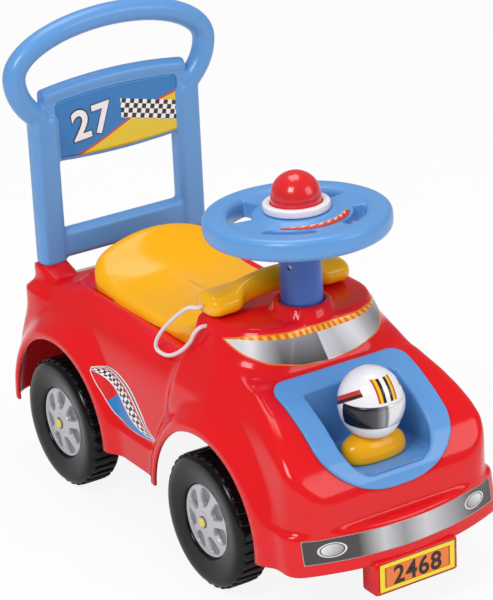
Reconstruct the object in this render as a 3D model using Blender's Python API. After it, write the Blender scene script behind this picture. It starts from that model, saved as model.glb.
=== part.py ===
"""Foot-to-floor ride-on car for a small child, built piece by piece.

Metres, +Z up. The car drives towards -Y and its left side is +X. The origin
is on the ground, in the middle of the car's length and width.
"""

import math

import bmesh
import bpy
import numpy as np
from mathutils import Matrix, Vector

# Fits and walls
GAP = 0.0003            # between pieces that touch
RUN_GAP = 0.0004        # round a shaft that turns
WALL = 0.003            # moulded body and seat
WELD = 0.00001          # vertices closer than this are one
FLAT = 2.0              # degrees; faces that differ by less are merged

# Body shell
FLOOR_Z = 0.058         # lower edge of the shell
SILL_HALF = 0.115       # half width at the lower edge
SHOULDER_HALF = 0.1085
SHOULDER_Z = 0.166
DECK_HALF = 0.087       # half width at the deck's edge
DECK_Z = 0.197
NOSE_Y = -0.250
NOSE_RADIUS = 0.045     # plan radius of the bonnet's front corners
TAIL_Y = 0.272
TAIL_RADIUS = 0.034
EDGE_BLEND = 0.012      # rounding between roof, sides and ends
SPINE_Z = 0.060         # the skin is lofted out from a line at this height
SPINE_FRONT = -0.170
SPINE_REAR = 0.185

# Cowl
COWL_HALF = 0.082
COWL_FRONT = -0.1285
COWL_REAR = -0.042
COWL_TOP = 0.2435
COWL_CORNER = 0.055
COWL_RAKE = 0.36        # outward run of the windscreen for each unit down
COWL_FOOT = 0.171
COWL_EDGE = 0.004
BOSS_RADIUS = 0.027     # at its top
BOSS_FLARE = 0.004
BOSS_TOP = 0.254

# Bumper and number plate box
BUMPER_TOP = 0.098
BUMPER_FRONT = -0.262   # at the middle of its upper edge
BUMPER_LEAN = 0.20
BUMPER_SWEEP = 0.027    # how far the ends are swept back
BUMPER_HALF = 0.1165
BUMPER_CORNER = 0.020
BUMPER_BACK = -0.185
PLATE_HALF = 0.0457
PLATE_FRONT = -0.272
PLATE_BACK = -0.2525
PLATE_LOW = 0.030
PLATE_TOP = 0.0635

# Wheels and axles
TYRE_RADIUS = 0.066
TYRE_WIDTH = 0.034
TYRE_OUTER = 0.1276     # outer face, from the middle of the car
TYRE_WALL = 0.0035
TYRE_STEPS = 24         # facets round the tyre; one of them lies on the ground
TYRE_BEVEL = 0.0035     # rounding of the tyre's outer edge
RIM_RADIUS = 0.0365
WEB_DEPTH = 0.008       # web of the wheel below the outer face
SLEEVE_RADIUS = 0.009
SLEEVE_INNER = 0.0875   # inner end of the wheel's sleeve
AXLE_RADIUS = 0.004
AXLE_SHY = 0.0036       # the axle's end inside the tyre's face
AXLE_HALF = TYRE_OUTER - AXLE_SHY
FRONT_AXLE_Y = -0.110
REAR_AXLE_Y = 0.160
CAP_RADIUS = 0.0055
CAP_PROUD = 0.0009      # the cap's tip outside the tyre's face
CAP_REACH = TYRE_OUTER + CAP_PROUD
CAP_BEVEL = 0.0015
HUBCAP_THICK = 0.003
HUBCAP_CROWN = 0.0035
ARCH_RADIUS = 0.087
FLARE_WIDTH = 0.024
LIP_SHY = 0.0014        # the arch lips inside the tyre's face
FLARE_REACH = TYRE_OUTER - LIP_SHY
ARCH_CLEAR = 0.004      # beside the tyre's inner face
WEB_HALF = 0.082        # plates that carry the rear axle
WEB_THICK = 0.004
WEB_SPAN = 0.052

# Steering
STEER_Y = -0.107        # the steering axis meets the axle's height here
STEER_TOP_Y = -0.096    # and the height of the steering wheel here
WHEEL_Z = 0.3305        # middle of the steering wheel's rim
SHAFT_RADIUS = 0.005
SHAFT_LOW = 0.016       # heights above the axle, along the steering axis
SHAFT_SHY = 0.0005      # the shaft's top below the middle of the rim
SHAFT_TOP = WHEEL_Z - TYRE_RADIUS - SHAFT_SHY
COLUMN_RADIUS = 0.020
COLUMN_WALL = 0.0028
COLUMN_LOW = 0.160
SCREW_DROP = 0.0397     # the column's screw below the middle of the rim
SCREW_HEIGHT = WHEEL_Z - TYRE_RADIUS - SCREW_DROP
SCREW_AZIMUTH = -154.0
YOKE_HALF = 0.086
YOKE_SIDE = 0.018
YOKE_BOSS = 0.0125
YOKE_TOP = 0.034
GUIDE_TOP = 0.1725
GUIDE_CUP = 0.028
GUIDE_RADIUS = 0.009
RIM_OUTER = 0.088
RIM_TUBE_X = 0.0125
RIM_TUBE_Z = 0.0110
HUB_RADIUS = 0.0365
HUB_HEIGHT = 0.022
SPOKE_THICK = 0.0185
COLLAR_RADIUS = 0.0315
COLLAR_HEIGHT = 0.008
DOME_RADIUS = 0.0235
DOME_SKIRT = 0.005      # straight part above the collar
DOME_FLANGE = 0.0270
DOME_WALL = 0.002
HORN_TRAVEL = 0.004
BULB_CLEAR = 0.0025     # between the squeaker and the pressed dome
BULB_RADIUS = 0.018
BULB_FOOT = 0.016       # radii of the squeaker's foot, waist, neck and tip
BULB_WAIST = 0.014
BULB_NECK = 0.012
BULB_TIP = 0.006
BULB_EDGE = 0.004
BULB_FOLD = 0.006       # height of one fold
POCKET_DEPTH = 0.009

# Bonnet tray and driver
TRAY_HALF = 0.0735
TRAY_LIFT = 0.0007      # underside above the bonnet's design surface
TRAY_PROUD = 0.0028
TRAY_START = 0.003      # along the bonnet, forward from the windscreen
TRAY_LENGTH = 0.1338
TRAY_CORNER = 0.016
TRAY_NOSE_HALF = 0.066
TRAY_NOSE_LENGTH = 0.055
POCKET_HALF = 0.0495
POCKET_BACK = -0.168
POCKET_FRONT = -0.243
POCKET_FLOOR = 0.127
POCKET_WALL = 0.0022
DRIVER_Y = -0.205
SHOULDERS_HALF = 0.033
SHOULDERS_FORWARD = 0.008
SHOULDERS_DEEP = 0.0165
SHOULDERS_TOP = 0.1525
NECK_RADIUS = 0.008
NECK_TOP = 0.163
HELMET_RADIUS = 0.0305
HELMET_LOW = 0.1550
HELMET_TOP = 0.2215
VISOR_LOW = 0.1730
VISOR_TOP = 0.1950
VISOR_WALL = 0.0012

# Seat lid, hinge and storage bin
SEAT_HALF = 0.075
SEAT_FRONT = -0.0415
SEAT_REAR = 0.179
SEAT_CORNER = 0.026
SEAT_SKIRT = 0.0005     # lower edge of the lid above the deck
HINGE_Y = 0.1850
HINGE_Z = 0.2030
HINGE_RADIUS = 0.0022
KNUCKLE_RADIUS = 0.0050
KNUCKLE_INNER = 0.043
KNUCKLE_WIDTH = 0.011
EAR_WIDTH = 0.004
BIN_HALF = 0.062
BIN_FRONT = -0.018
BIN_REAR = 0.148
BIN_FLOOR = 0.118
BIN_FLANGE = 0.006
BIN_WALL = 0.0022

# Backrest
POST_X = 0.0825
POST_Y = 0.233
POST_WIDTH = 0.0275
POST_DEPTH = 0.022
POST_CORNER = 0.008
STUB_SHRINK = 0.0030
SOCKET_WALL = 0.0028
SOCKET_TOP = 0.2065
SOCKET_LOW = 0.152
SOCKET_FLOOR = 0.003
POST_TOP = 0.362
BAR_LOW = 0.209
BAR_TOP = 0.238
BAR_DEPTH = 0.018
PANEL_LOW = 0.311
PANEL_TOP = 0.382
PANEL_DEPTH = 0.015
ROLL_RADIUS = 0.0085
HANDLE_HALF = 0.1095    # centre line of the handle tube
HANDLE_Z = 0.404
HANDLE_RISE = 0.046
HANDLE_DROP = 0.070
HANDLE_TUBE = 0.0115
SCREW_RADIUS = 0.0015
SCREW_HEAD = 0.0035
SCREW_BITE = 0.014

# Handset and cord
HANDSET_X = -0.005
HANDSET_Y = -0.0585
HANDSET_HALF = 0.078
EAR_X = 0.0580          # middle of each ear piece
EAR_DEEP = 0.0195
EAR_HIGH = 0.0110
BAR_DEEP = 0.0085
BAR_HIGH = 0.0095
HANDSET_ARCH = 0.010
CORD_RADIUS = 0.0019
CORD_HOLE = CORD_RADIUS + 0.0006
CORD_POINTS = 26

# Side profile of the bonnet and deck, as (y, z) from the nose to the tail
BONNET = (
    (NOSE_Y, 0.100), (-0.2490, 0.122), (-0.2455, 0.132), (-0.2400, 0.141),
    (-0.2310, 0.152), (-0.2180, 0.1645), (-0.2020, 0.176), (-0.1800, 0.1885),
    (-0.1500, 0.2005), (-0.1200, 0.2040),
)
TAIL = (
    (0.2150, DECK_Z - 0.002), (0.2350, DECK_Z - 0.008), (0.2460, 0.1770),
    (0.2520, 0.1610), (0.2590, 0.1430), (0.2660, 0.1240), (0.2710, 0.1050),
    (TAIL_Y, 0.0850),
)

# Cord route: (x, y, z) from the handset's end, down and back up to the cowl
CORD_ROUTE = (
    (-0.0838, -0.0585, 0.2545), (-0.0895, -0.0585, 0.2545),
    (-0.0940, -0.0499, 0.2528), (-0.0960, -0.0294, 0.2374),
    (-0.0980, -0.0076, 0.2173), (-0.0995, 0.0025, 0.2030),
    (-0.1005, 0.0008, 0.1955), (-0.1010, -0.0127, 0.1948),
    (-0.1005, -0.0267, 0.1989), (-0.0990, -0.0425, 0.2088),
    (-0.0965, -0.0540, 0.2203), (-0.0940, -0.0592, 0.2305),
    (-0.0895, -0.0620, 0.2358), (-0.0815, -0.0620, 0.2358),
)

RED = (0.76, 0.012, 0.018)
BLUE = (0.14, 0.36, 0.68)
YELLOW = (0.95, 0.47, 0.01)
BLACK = (0.012, 0.011, 0.012)
GREY = (0.55, 0.55, 0.57)
STEEL = (0.55, 0.56, 0.57)
WHITE = (0.88, 0.87, 0.90)


def finish(name, colour, roughness, metallic=0.0):
    """Make one material."""
    material = bpy.data.materials.new(name)
    material.use_nodes = True
    shader = material.node_tree.nodes["Principled BSDF"]
    shader.inputs["Base Color"].default_value = (*colour, 1.0)
    shader.inputs["Roughness"].default_value = roughness
    shader.inputs["Metallic"].default_value = metallic
    return material


def solid(name, rings, loop=False, matrix=Matrix()):
    """Skin a list of equal point rings; a ring of one point is a pole."""
    bm = bmesh.new()
    layers = [[bm.verts.new(matrix @ Vector(p)) for p in ring] for ring in rings]
    pairs = list(zip(layers, layers[1:]))
    if loop:
        pairs.append((layers[-1], layers[0]))
    for low, high in pairs:
        count = max(len(low), len(high))
        for i in range(count):
            j = (i + 1) % count
            corners = [low[i % len(low)], low[j % len(low)], high[j % len(high)], high[i % len(high)]]
            bm.faces.new(list(dict.fromkeys(corners)))
    if not loop:
        for layer in (layers[0], layers[-1]):
            if len(layer) > 1:
                bm.faces.new(layer)
    return as_object(name, bm)


def as_object(name, bm):
    """Turn a closed surface into a linked object of triangles that face outwards."""
    bmesh.ops.triangulate(bm, faces=bm.faces)
    bmesh.ops.recalc_face_normals(bm, faces=bm.faces)
    mesh = bpy.data.meshes.new(name)
    bm.to_mesh(mesh)
    bm.free()
    thing = bpy.data.objects.new(name, mesh)
    bpy.context.scene.collection.objects.link(thing)
    return thing


def circle(radius, height, steps, phase=0.0):
    """Points of a circle about Z; the phase is a share of one step."""
    angles = [2 * math.pi * (i + phase) / steps for i in range(steps)]
    return [(radius * math.cos(a), radius * math.sin(a), height) for a in angles]


def turned(name, profile, steps, loop=False, matrix=Matrix()):
    """Turn a profile of (radius, height) about Z; loop closes it round a bore."""
    rings = [circle(r, z, steps) if r > 0 else [(0, 0, z)] for r, z in profile]
    return solid(name, rings, loop, matrix)


def rounded_outline(half_x, low_y, high_y, low_radius, high_radius, steps):
    """Rectangle in plan with one corner radius in front and one behind."""
    corners = (
        (half_x - high_radius, high_y - high_radius, high_radius, 0.0),
        (high_radius - half_x, high_y - high_radius, high_radius, 0.5 * math.pi),
        (low_radius - half_x, low_y + low_radius, low_radius, math.pi),
        (half_x - low_radius, low_y + low_radius, low_radius, 1.5 * math.pi),
    )
    points = []
    for x, y, radius, start in corners:
        for k in range(steps + 1):
            angle = start + 0.5 * math.pi * k / steps
            points.append((x + radius * math.cos(angle), y + radius * math.sin(angle)))
    return points


def at_height(outline, z):
    """Lift a plan outline to a height."""
    return [(x, y, z) for x, y in outline]


def block(name, low, high):
    """Plain box between two corners."""
    outline = [(low[0], low[1]), (high[0], low[1]), (high[0], high[1]), (low[0], high[1])]
    return solid(name, [at_height(outline, low[2]), at_height(outline, high[2])])


def rod(name, start, end, radius, steps):
    """Round bar from one point to another."""
    start, end = Vector(start), Vector(end)
    turn = (end - start).to_track_quat("Z", "Y").to_matrix().to_4x4()
    length = (end - start).length
    matrix = Matrix.Translation(start) @ turn
    return solid(name, [circle(radius, 0, steps), circle(radius, length, steps)], matrix=matrix)


def combine(target, tool, operation):
    """Join, cut or intersect two solids and keep the result in the first."""
    modifier = target.modifiers.new(operation.lower(), "BOOLEAN")
    modifier.operation = operation
    modifier.solver = "EXACT"
    modifier.object = tool
    bpy.context.view_layer.update()
    graph = bpy.context.evaluated_depsgraph_get()
    mesh = bpy.data.meshes.new_from_object(target.evaluated_get(graph))
    target.modifiers.clear()
    target.data = mesh
    bpy.data.objects.remove(tool)
    bm = bmesh.new()
    bm.from_mesh(mesh)
    clean(bm)
    bm.to_mesh(mesh)
    bm.free()


def clean(bm):
    """Weld slivers and leave plain triangles."""
    bmesh.ops.remove_doubles(bm, verts=bm.verts, dist=WELD)
    bmesh.ops.dissolve_degenerate(bm, edges=bm.edges, dist=WELD)
    bmesh.ops.triangulate(bm, faces=bm.faces)


def join(target, *tools):
    """Fuse solids to the target."""
    for tool in tools:
        combine(target, tool, "UNION")


def cut(target, *tools):
    """Cut solids from the target."""
    for tool in tools:
        combine(target, tool, "DIFFERENCE")


def done(thing, name, material, origin=(0, 0, 0), sharp=35):
    """Name, finish and shade a piece, and put its origin on its axis."""
    thing.name = name
    thing.data.name = name
    thing.data.materials.clear()
    thing.data.materials.append(material)
    bm = bmesh.new()
    bm.from_mesh(thing.data)
    bmesh.ops.dissolve_limit(bm, angle_limit=math.radians(FLAT), verts=bm.verts, edges=bm.edges)
    clean(bm)
    bmesh.ops.translate(bm, verts=bm.verts, vec=-Vector(origin))
    bm.to_mesh(thing.data)
    bm.free()
    thing.location = origin
    thing.data.shade_smooth()
    thing.data.set_sharp_from_angle(angle=math.radians(sharp))
    return thing


def polygon_distance(y, z, points):
    """Signed distance to a closed polygon, negative inside."""
    best = np.full(y.shape, 1e9)
    inside = np.zeros(y.shape, dtype=bool)
    for (y0, z0), (y1, z1) in zip(points, points[1:] + points[:1]):
        dy, dz = y1 - y0, z1 - z0
        share = np.clip(((y - y0) * dy + (z - z0) * dz) / (dy * dy + dz * dz), 0, 1)
        best = np.minimum(best, np.hypot(y - y0 - share * dy, z - z0 - share * dz))
        if dz != 0:
            crosses = (z0 > z) != (z1 > z)
            inside ^= crosses & (y < y0 + (z - z0) * dy / dz)
    return np.where(inside, -best, best)


def blend_max(a, b, width):
    """Larger of two distances, with a rounded seam."""
    share = np.clip(0.5 + 0.5 * (a - b) / width, 0, 1)
    return b + (a - b) * share + width * share * (1 - share)


def wall_distance(x, z, low, high):
    """Distance outside the straight wall through two (x, z) points."""
    run, rise = high[0] - low[0], high[1] - low[1]
    return ((x - low[0]) * rise - (z - low[1]) * run) / math.hypot(run, rise)


def hull_distance(x, y, z):
    """Signed distance to the outside of the hull, without cowl and bumper."""
    side = np.abs(x)
    foot = (SILL_HALF, FLOOR_Z)
    shoulder = (SHOULDER_HALF, SHOULDER_Z)
    lower = wall_distance(side, z, foot, shoulder)
    upper = wall_distance(side, z, shoulder, (DECK_HALF, DECK_Z))
    section = blend_max(lower, upper, EDGE_BLEND * 0.5)
    deck = ((COWL_REAR, DECK_Z), (SPINE_REAR, DECK_Z))
    outline = [(NOSE_Y, -0.1), *BONNET, *deck, *TAIL, (TAIL_Y, -0.1)]
    profile = polygon_distance(y, z, outline)
    slack = EDGE_BLEND * 0.4
    ends = np.maximum(
        corner_distance(side, -y, SILL_HALF + slack, slack - NOSE_Y, NOSE_RADIUS),
        corner_distance(side, y, SILL_HALF + slack, slack + TAIL_Y, TAIL_RADIUS),
    )
    return blend_max(blend_max(section, profile, EDGE_BLEND), ends, EDGE_BLEND * 0.5)


def corner_distance(x, y, half, reach, radius):
    """Distance to a plan rectangle's rounded corner."""
    out_x = np.maximum(x - (half - radius), 0)
    out_y = np.maximum(y - (reach - radius), 0)
    return np.hypot(out_x, out_y) - radius


def hull(name, inset, base_z, steps):
    """Loft the hull's skin outwards from a spine on its open underside."""
    ends, middle_steps, spoke_steps = steps
    span = SPINE_REAR - SPINE_FRONT
    front = [(0.5 * math.pi * i / ends, SPINE_FRONT) for i in range(ends)]
    middle = [(0.5 * math.pi, SPINE_FRONT + span * i / middle_steps) for i in range(middle_steps + 1)]
    rear = [(0.5 * math.pi * (1 + i / ends), SPINE_REAR) for i in range(1, ends + 1)]
    spokes = np.linspace(-0.5 * math.pi, 0.5 * math.pi, spoke_steps + 1)
    rings = []
    for tilt, start in front + middle + rear:
        polar = abs(math.sin(tilt)) < 1e-6
        angles = spokes[:1] if polar else spokes
        out = np.array([
            np.sin(angles) * math.sin(tilt),
            np.full(len(angles), -math.cos(tilt)),
            np.cos(angles) * math.sin(tilt),
        ])
        near, far = np.zeros(len(angles)), np.full(len(angles), 0.4)
        for _ in range(40):
            reach = 0.5 * (near + far)
            x, y, z = out * reach
            outside = hull_distance(x, y + start, z + SPINE_Z) > -inset
            near, far = np.where(outside, near, reach), np.where(outside, reach, far)
        x, y, z = out * near
        rings.append([(float(a), float(b) + start, float(c) + SPINE_Z) for a, b, c in zip(x, y, z)])
    return open_loft(name, rings, base_z)


def open_loft(name, rings, base_z):
    """Skin half rings between two poles, with straight walls down to a flat base."""
    bm = bmesh.new()
    layers = [[bm.verts.new(p) for p in ring] for ring in rings]
    for low, high in zip(layers, layers[1:]):
        count = max(len(low), len(high))
        for i in range(count - 1):
            corners = [low[min(i, len(low) - 1)], low[min(i + 1, len(low) - 1)],
                       high[min(i + 1, len(high) - 1)], high[min(i, len(high) - 1)]]
            bm.faces.new(list(dict.fromkeys(corners)))
    base = [layer[0] for layer in layers] + [layer[-1] for layer in reversed(layers[1:-1])]
    foot = [bm.verts.new((vert.co.x, vert.co.y, base_z)) for vert in base]
    for i, vert in enumerate(base):
        j = (i + 1) % len(base)
        bm.faces.new((vert, base[j], foot[j], foot[i]))
    bm.faces.new(foot)
    return as_object(name, bm)


def cowl(name, inset, steps):
    """Raised cowl with the raked windscreen wrapped round its front."""
    levels = (
        (COWL_FOOT - inset, 0.0),
        (COWL_TOP - COWL_EDGE, 0.0),
        (COWL_TOP - 0.3 * COWL_EDGE - inset * 0.7, -0.7 * COWL_EDGE),
        (COWL_TOP - inset, -1.7 * COWL_EDGE),
    )
    rings = []
    for z, shrink in levels:
        spread = (COWL_TOP - COWL_EDGE - z) * COWL_RAKE
        offset = (spread if z < COWL_TOP - COWL_EDGE else 0.0) + shrink - inset
        outline = rounded_outline(
            COWL_HALF + offset, COWL_FRONT - offset, COWL_REAR - inset,
            COWL_CORNER + offset, COWL_EDGE * 2, steps,
        )
        rings.append(at_height(outline, z))
    return solid(name, rings)


def bumper_outline(z, inset):
    """Plan outline of the bumper at one height."""
    front = BUMPER_FRONT - (BUMPER_TOP - z) * BUMPER_LEAN + inset
    half = BUMPER_HALF - inset
    points = [(half, BUMPER_BACK), (half, front + BUMPER_SWEEP + BUMPER_CORNER)]
    for i in range(13):
        x = half - BUMPER_CORNER * 0.5 - (half - BUMPER_CORNER * 0.5) * i / 6
        points.append((x, front + BUMPER_SWEEP * (x / half) ** 2))
    points += [(-half, front + BUMPER_SWEEP + BUMPER_CORNER), (-half, BUMPER_BACK)]
    return points


def bumper(name, inset, base_z):
    """Bumper that stands out below the bonnet, with a flat ledge on top."""
    top = BUMPER_TOP - inset
    rings = [
        at_height(bumper_outline(base_z, inset), base_z),
        at_height(bumper_outline(top - 0.002, inset), top - 0.002),
        at_height(bumper_outline(top, inset + 0.0015), top),
    ]
    return solid(name, rings)


def flare(name, side, axle_y, inset, base_z, steps):
    """Swollen lip round a wheel arch."""
    start = ARCH_RADIUS - 0.004 - inset
    profile = (
        (start, SHOULDER_HALF - 0.012 - inset),
        (start, FLARE_REACH - inset),
        (ARCH_RADIUS + 0.004 - inset, FLARE_REACH - inset),
        (ARCH_RADIUS + FLARE_WIDTH * 0.5 - inset, FLARE_REACH - 0.006 - inset),
        (ARCH_RADIUS + FLARE_WIDTH - inset, SHOULDER_HALF - inset),
        (ARCH_RADIUS + FLARE_WIDTH - inset, SHOULDER_HALF - 0.012 - inset),
    )
    rings = [[(side * x, axle_y + r, base_z) for r, x in profile]]
    for i in range(steps + 1):
        angle = math.pi * i / steps
        rings.append([
            (side * x, axle_y + r * math.cos(angle), TYRE_RADIUS + r * math.sin(angle))
            for r, x in profile
        ])
    rings.append([(side * x, axle_y - r, base_z) for r, x in profile])
    return solid(name, rings)


def arch_cutter(side, axle_y):
    """Round opening of a wheel arch, from inside the tyre and the wall to the open air."""
    inner = min(TYRE_OUTER - TYRE_WIDTH - ARCH_CLEAR, SHOULDER_HALF - 2 * WALL)
    start = (side * inner, axle_y, TYRE_RADIUS)
    end = (side * (FLARE_REACH + 0.02), axle_y, TYRE_RADIUS)
    return rod("arch", start, end, ARCH_RADIUS, 30)


def steering_frame():
    """Matrix whose Z runs up the tilted steering axis from the axle's height."""
    rise = WHEEL_Z - TYRE_RADIUS
    tilt = math.atan2(STEER_TOP_Y - STEER_Y, rise)
    return Matrix.Translation((0, STEER_Y, TYRE_RADIUS)) @ Matrix.Rotation(-tilt, 4, "X")


def post_outline(shrink, side):
    """Plan outline of a backrest post."""
    half = POST_WIDTH / 2 - shrink
    deep = POST_DEPTH / 2 - shrink
    corner = POST_CORNER - shrink if shrink < POST_CORNER else 0.001
    outline = rounded_outline(half, -deep, deep, corner, corner, 2)
    return [(x + side * POST_X, y + POST_Y) for x, y in outline]


def body_shell(material):
    """One-piece moulded shell, open below."""
    frame = steering_frame()
    low = FLOOR_Z - 0.004
    shell = hull("shell", 0.0, low, (8, 10, 18))
    join(shell, cowl("cowl", 0.0, 5), bumper("bumper", 0.0, low - 0.001))
    deep = FLOOR_Z - 0.020
    core = hull("core", WALL, deep, (4, 5, 9))
    join(core, cowl("cowl core", WALL, 3), bumper("bumper core", WALL, deep - 0.001))
    for side in (-1, 1):
        for axle_y in (FRONT_AXLE_Y, REAR_AXLE_Y):
            join(shell, flare("flare", side, axle_y, 0.0, low - 0.002, 12))
            join(core, flare("flare core", side, axle_y, WALL, deep - 0.002, 6))
    boss_low = COWL_TOP - TYRE_RADIUS - 0.004
    boss_top = BOSS_TOP - TYRE_RADIUS
    ring = ((BOSS_RADIUS + BOSS_FLARE, boss_low), (BOSS_RADIUS, boss_top - 0.002),
            (BOSS_RADIUS - 0.002, boss_top))
    join(shell, turned("boss", ring, 20, matrix=frame))
    hollow = ((BOSS_RADIUS - WALL, boss_low - 0.004), (BOSS_RADIUS - WALL, boss_top - WALL))
    join(core, turned("boss core", hollow, 12, matrix=frame))
    cut(shell, core)
    under = block("under", (-0.2, -0.4, 0.0), (0.2, 0.4, FLOOR_Z))
    cut(shell, under)
    for side in (-1, 1):
        for axle_y in (FRONT_AXLE_Y, REAR_AXLE_Y):
            cut(shell, arch_cutter(side, axle_y))
    join(shell, *axle_webs(), *sockets(), *hinge_ears(), plate_box())
    bore = COLUMN_RADIUS + 2 * RUN_GAP
    cut(shell, turned("bore", ((bore, 0.12), (bore, 0.25)), 20, matrix=frame))
    cut(shell, *body_openings())
    return done(shell, "body_shell", material)


def axle_webs():
    """Two moulded plates between the rear wheels that carry the axle."""
    webs = []
    for side in (-1, 1):
        inner = side * (WEB_HALF - WEB_THICK / 2)
        outer = side * (WEB_HALF + WEB_THICK / 2)
        low = (min(inner, outer), REAR_AXLE_Y - WEB_SPAN / 2, FLOOR_Z - 0.006)
        high = (max(inner, outer), REAR_AXLE_Y + WEB_SPAN / 2, DECK_Z - 2.7 * WALL)
        webs.append(block("web", low, high))
    return webs


def sockets():
    """Tubes that take the backrest's posts."""
    tubes = []
    for side in (-1, 1):
        outline = post_outline(-SOCKET_WALL, side)
        inner = post_outline(0.001 - SOCKET_WALL, side)
        rings = [
            at_height(outline, SOCKET_LOW),
            at_height(outline, SOCKET_TOP - 0.001),
            at_height(inner, SOCKET_TOP),
        ]
        tubes.append(solid("socket", rings))
    return tubes


def hinge_ears():
    """Ears on the deck that hold the seat's hinge pin."""
    ears = []
    for side in (-1, 1):
        near = KNUCKLE_INNER + KNUCKLE_WIDTH + GAP
        start = (side * near, HINGE_Y, HINGE_Z)
        end = (side * (near + EAR_WIDTH), HINGE_Y, HINGE_Z)
        ear = rod("ear", start, end, KNUCKLE_RADIUS, 16)
        low_x = min(start[0], end[0])
        low = (low_x, HINGE_Y - KNUCKLE_RADIUS, DECK_Z - 0.0015)
        high = (low_x + EAR_WIDTH, HINGE_Y + KNUCKLE_RADIUS, HINGE_Z)
        join(ear, block("ear foot", low, high))
        ears.append(ear)
    return ears


def plate_box():
    """Box for the number plate below the bumper, open behind."""
    outline = [(PLATE_HALF, PLATE_BACK), (PLATE_HALF, PLATE_FRONT + 0.004),
               (PLATE_HALF - 0.003, PLATE_FRONT), (0.003 - PLATE_HALF, PLATE_FRONT),
               (-PLATE_HALF, PLATE_FRONT + 0.004), (-PLATE_HALF, PLATE_BACK)]
    box = solid("plate box", [at_height(outline, PLATE_LOW), at_height(outline, PLATE_TOP)])
    low = (WALL - PLATE_HALF, PLATE_FRONT + WALL, PLATE_LOW + WALL)
    high = (PLATE_HALF - WALL, PLATE_BACK + 0.01, FLOOR_Z + 0.0005)
    cut(box, block("plate hollow", low, high))
    return box


def body_openings():
    """Holes through the finished shell."""
    cutters = []
    deck = rounded_outline(BIN_HALF + 0.0006, BIN_FRONT - 0.0006, BIN_REAR + 0.0006, 0.012, 0.012, 3)
    cutters.append(solid("deck hole", [at_height(deck, DECK_Z - 0.03), at_height(deck, DECK_Z + 0.02)]))
    pocket = pocket_outline(POCKET_WALL + 0.001)
    cutters.append(solid("bonnet hole", [at_height(pocket, POCKET_FLOOR - 0.01), at_height(pocket, 0.23)]))
    reach = WEB_HALF + WEB_THICK
    axle_hole = AXLE_RADIUS + GAP
    cutters.append(rod("axle hole", (-reach, REAR_AXLE_Y, TYRE_RADIUS), (reach, REAR_AXLE_Y, TYRE_RADIUS),
                       axle_hole, 16))
    pin_reach = KNUCKLE_INNER + KNUCKLE_WIDTH + EAR_WIDTH + 0.002
    cutters.append(rod("pin hole", (-pin_reach, HINGE_Y, HINGE_Z), (pin_reach, HINGE_Y, HINGE_Z),
                       HINGE_RADIUS + GAP, 12))
    for side in (-1, 1):
        hole = post_outline(STUB_SHRINK - GAP, side)
        floor = SOCKET_LOW + SOCKET_FLOOR
        cutters.append(solid("post hole", [at_height(hole, floor), at_height(hole, SOCKET_TOP + 0.01)]))
        spot = (side * POST_X, POST_Y)
        cutters.append(rod("screw hole", (*spot, SOCKET_LOW - 0.01), (*spot, SOCKET_LOW + 0.01),
                           SCREW_RADIUS + GAP, 10))
    _, y, z = CORD_ROUTE[-1]
    outside, inside = (-COWL_HALF - 0.010, y, z), (-COWL_HALF + 0.010, y, z)
    cutters.append(rod("cord hole", outside, inside, CORD_HOLE, 12))
    return cutters


def wheel(tag, side, axle_y, materials):
    """Road wheel, its hubcap and the cap on the axle's end."""
    centre = (side * TYRE_OUTER, axle_y, TYRE_RADIUS)
    matrix = Matrix.Translation(centre) @ Matrix.Rotation(side * math.pi / 2, 4, "Y")
    tread = TYRE_RADIUS / math.cos(math.pi / TYRE_STEPS)
    edge = tread - TYRE_BEVEL
    bore = AXLE_RADIUS + RUN_GAP
    web = -WEB_DEPTH
    sleeve_end = SLEEVE_INNER - TYRE_OUTER
    profile = (
        (bore, web), (bore, sleeve_end), (SLEEVE_RADIUS, sleeve_end),
        (SLEEVE_RADIUS, web - TYRE_WALL), (RIM_RADIUS, web - TYRE_WALL),
        (edge - TYRE_WALL, -1.5 * TYRE_WALL), (edge - TYRE_WALL, 0.001 - TYRE_WIDTH),
        (edge, -TYRE_WIDTH), (tread, TYRE_BEVEL - TYRE_WIDTH), (tread, -TYRE_BEVEL - 0.001),
        (edge - 0.001, 0.0), (RIM_RADIUS, -0.0015), (RIM_RADIUS, web),
    )
    rings = [circle(radius, height, TYRE_STEPS, 0.5) for radius, height in profile]
    tyre = solid("tyre", rings, loop=True, matrix=matrix)
    done(tyre, "tyre_" + tag, materials["tyre"], centre)
    back = web + GAP
    front = back + HUBCAP_THICK
    hole = CAP_RADIUS + GAP
    rim = RIM_RADIUS * math.cos(math.pi / TYRE_STEPS) - GAP
    cap_profile = (
        (hole, back), (rim, back), (rim, front), (rim - 0.006, front),
        (0.012, front + HUBCAP_CROWN), (hole, front + HUBCAP_CROWN * 0.5),
    )
    hubcap = turned("hubcap", cap_profile, 20, loop=True, matrix=matrix)
    done(hubcap, "hubcap_" + tag, materials["hubcap"], centre)
    tip = CAP_REACH - TYRE_OUTER
    seat = AXLE_HALF - TYRE_OUTER + GAP
    grip = AXLE_RADIUS + GAP
    foot = web + GAP
    end_profile = (
        (0, seat), (grip, seat), (grip, foot), (CAP_RADIUS, foot),
        (CAP_RADIUS, tip - CAP_BEVEL), (CAP_RADIUS - CAP_BEVEL, tip), (0, tip),
    )
    cap = turned("cap", end_profile, 12, matrix=matrix)
    done(cap, "axle_cap_" + tag, materials["cap"], centre)


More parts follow.
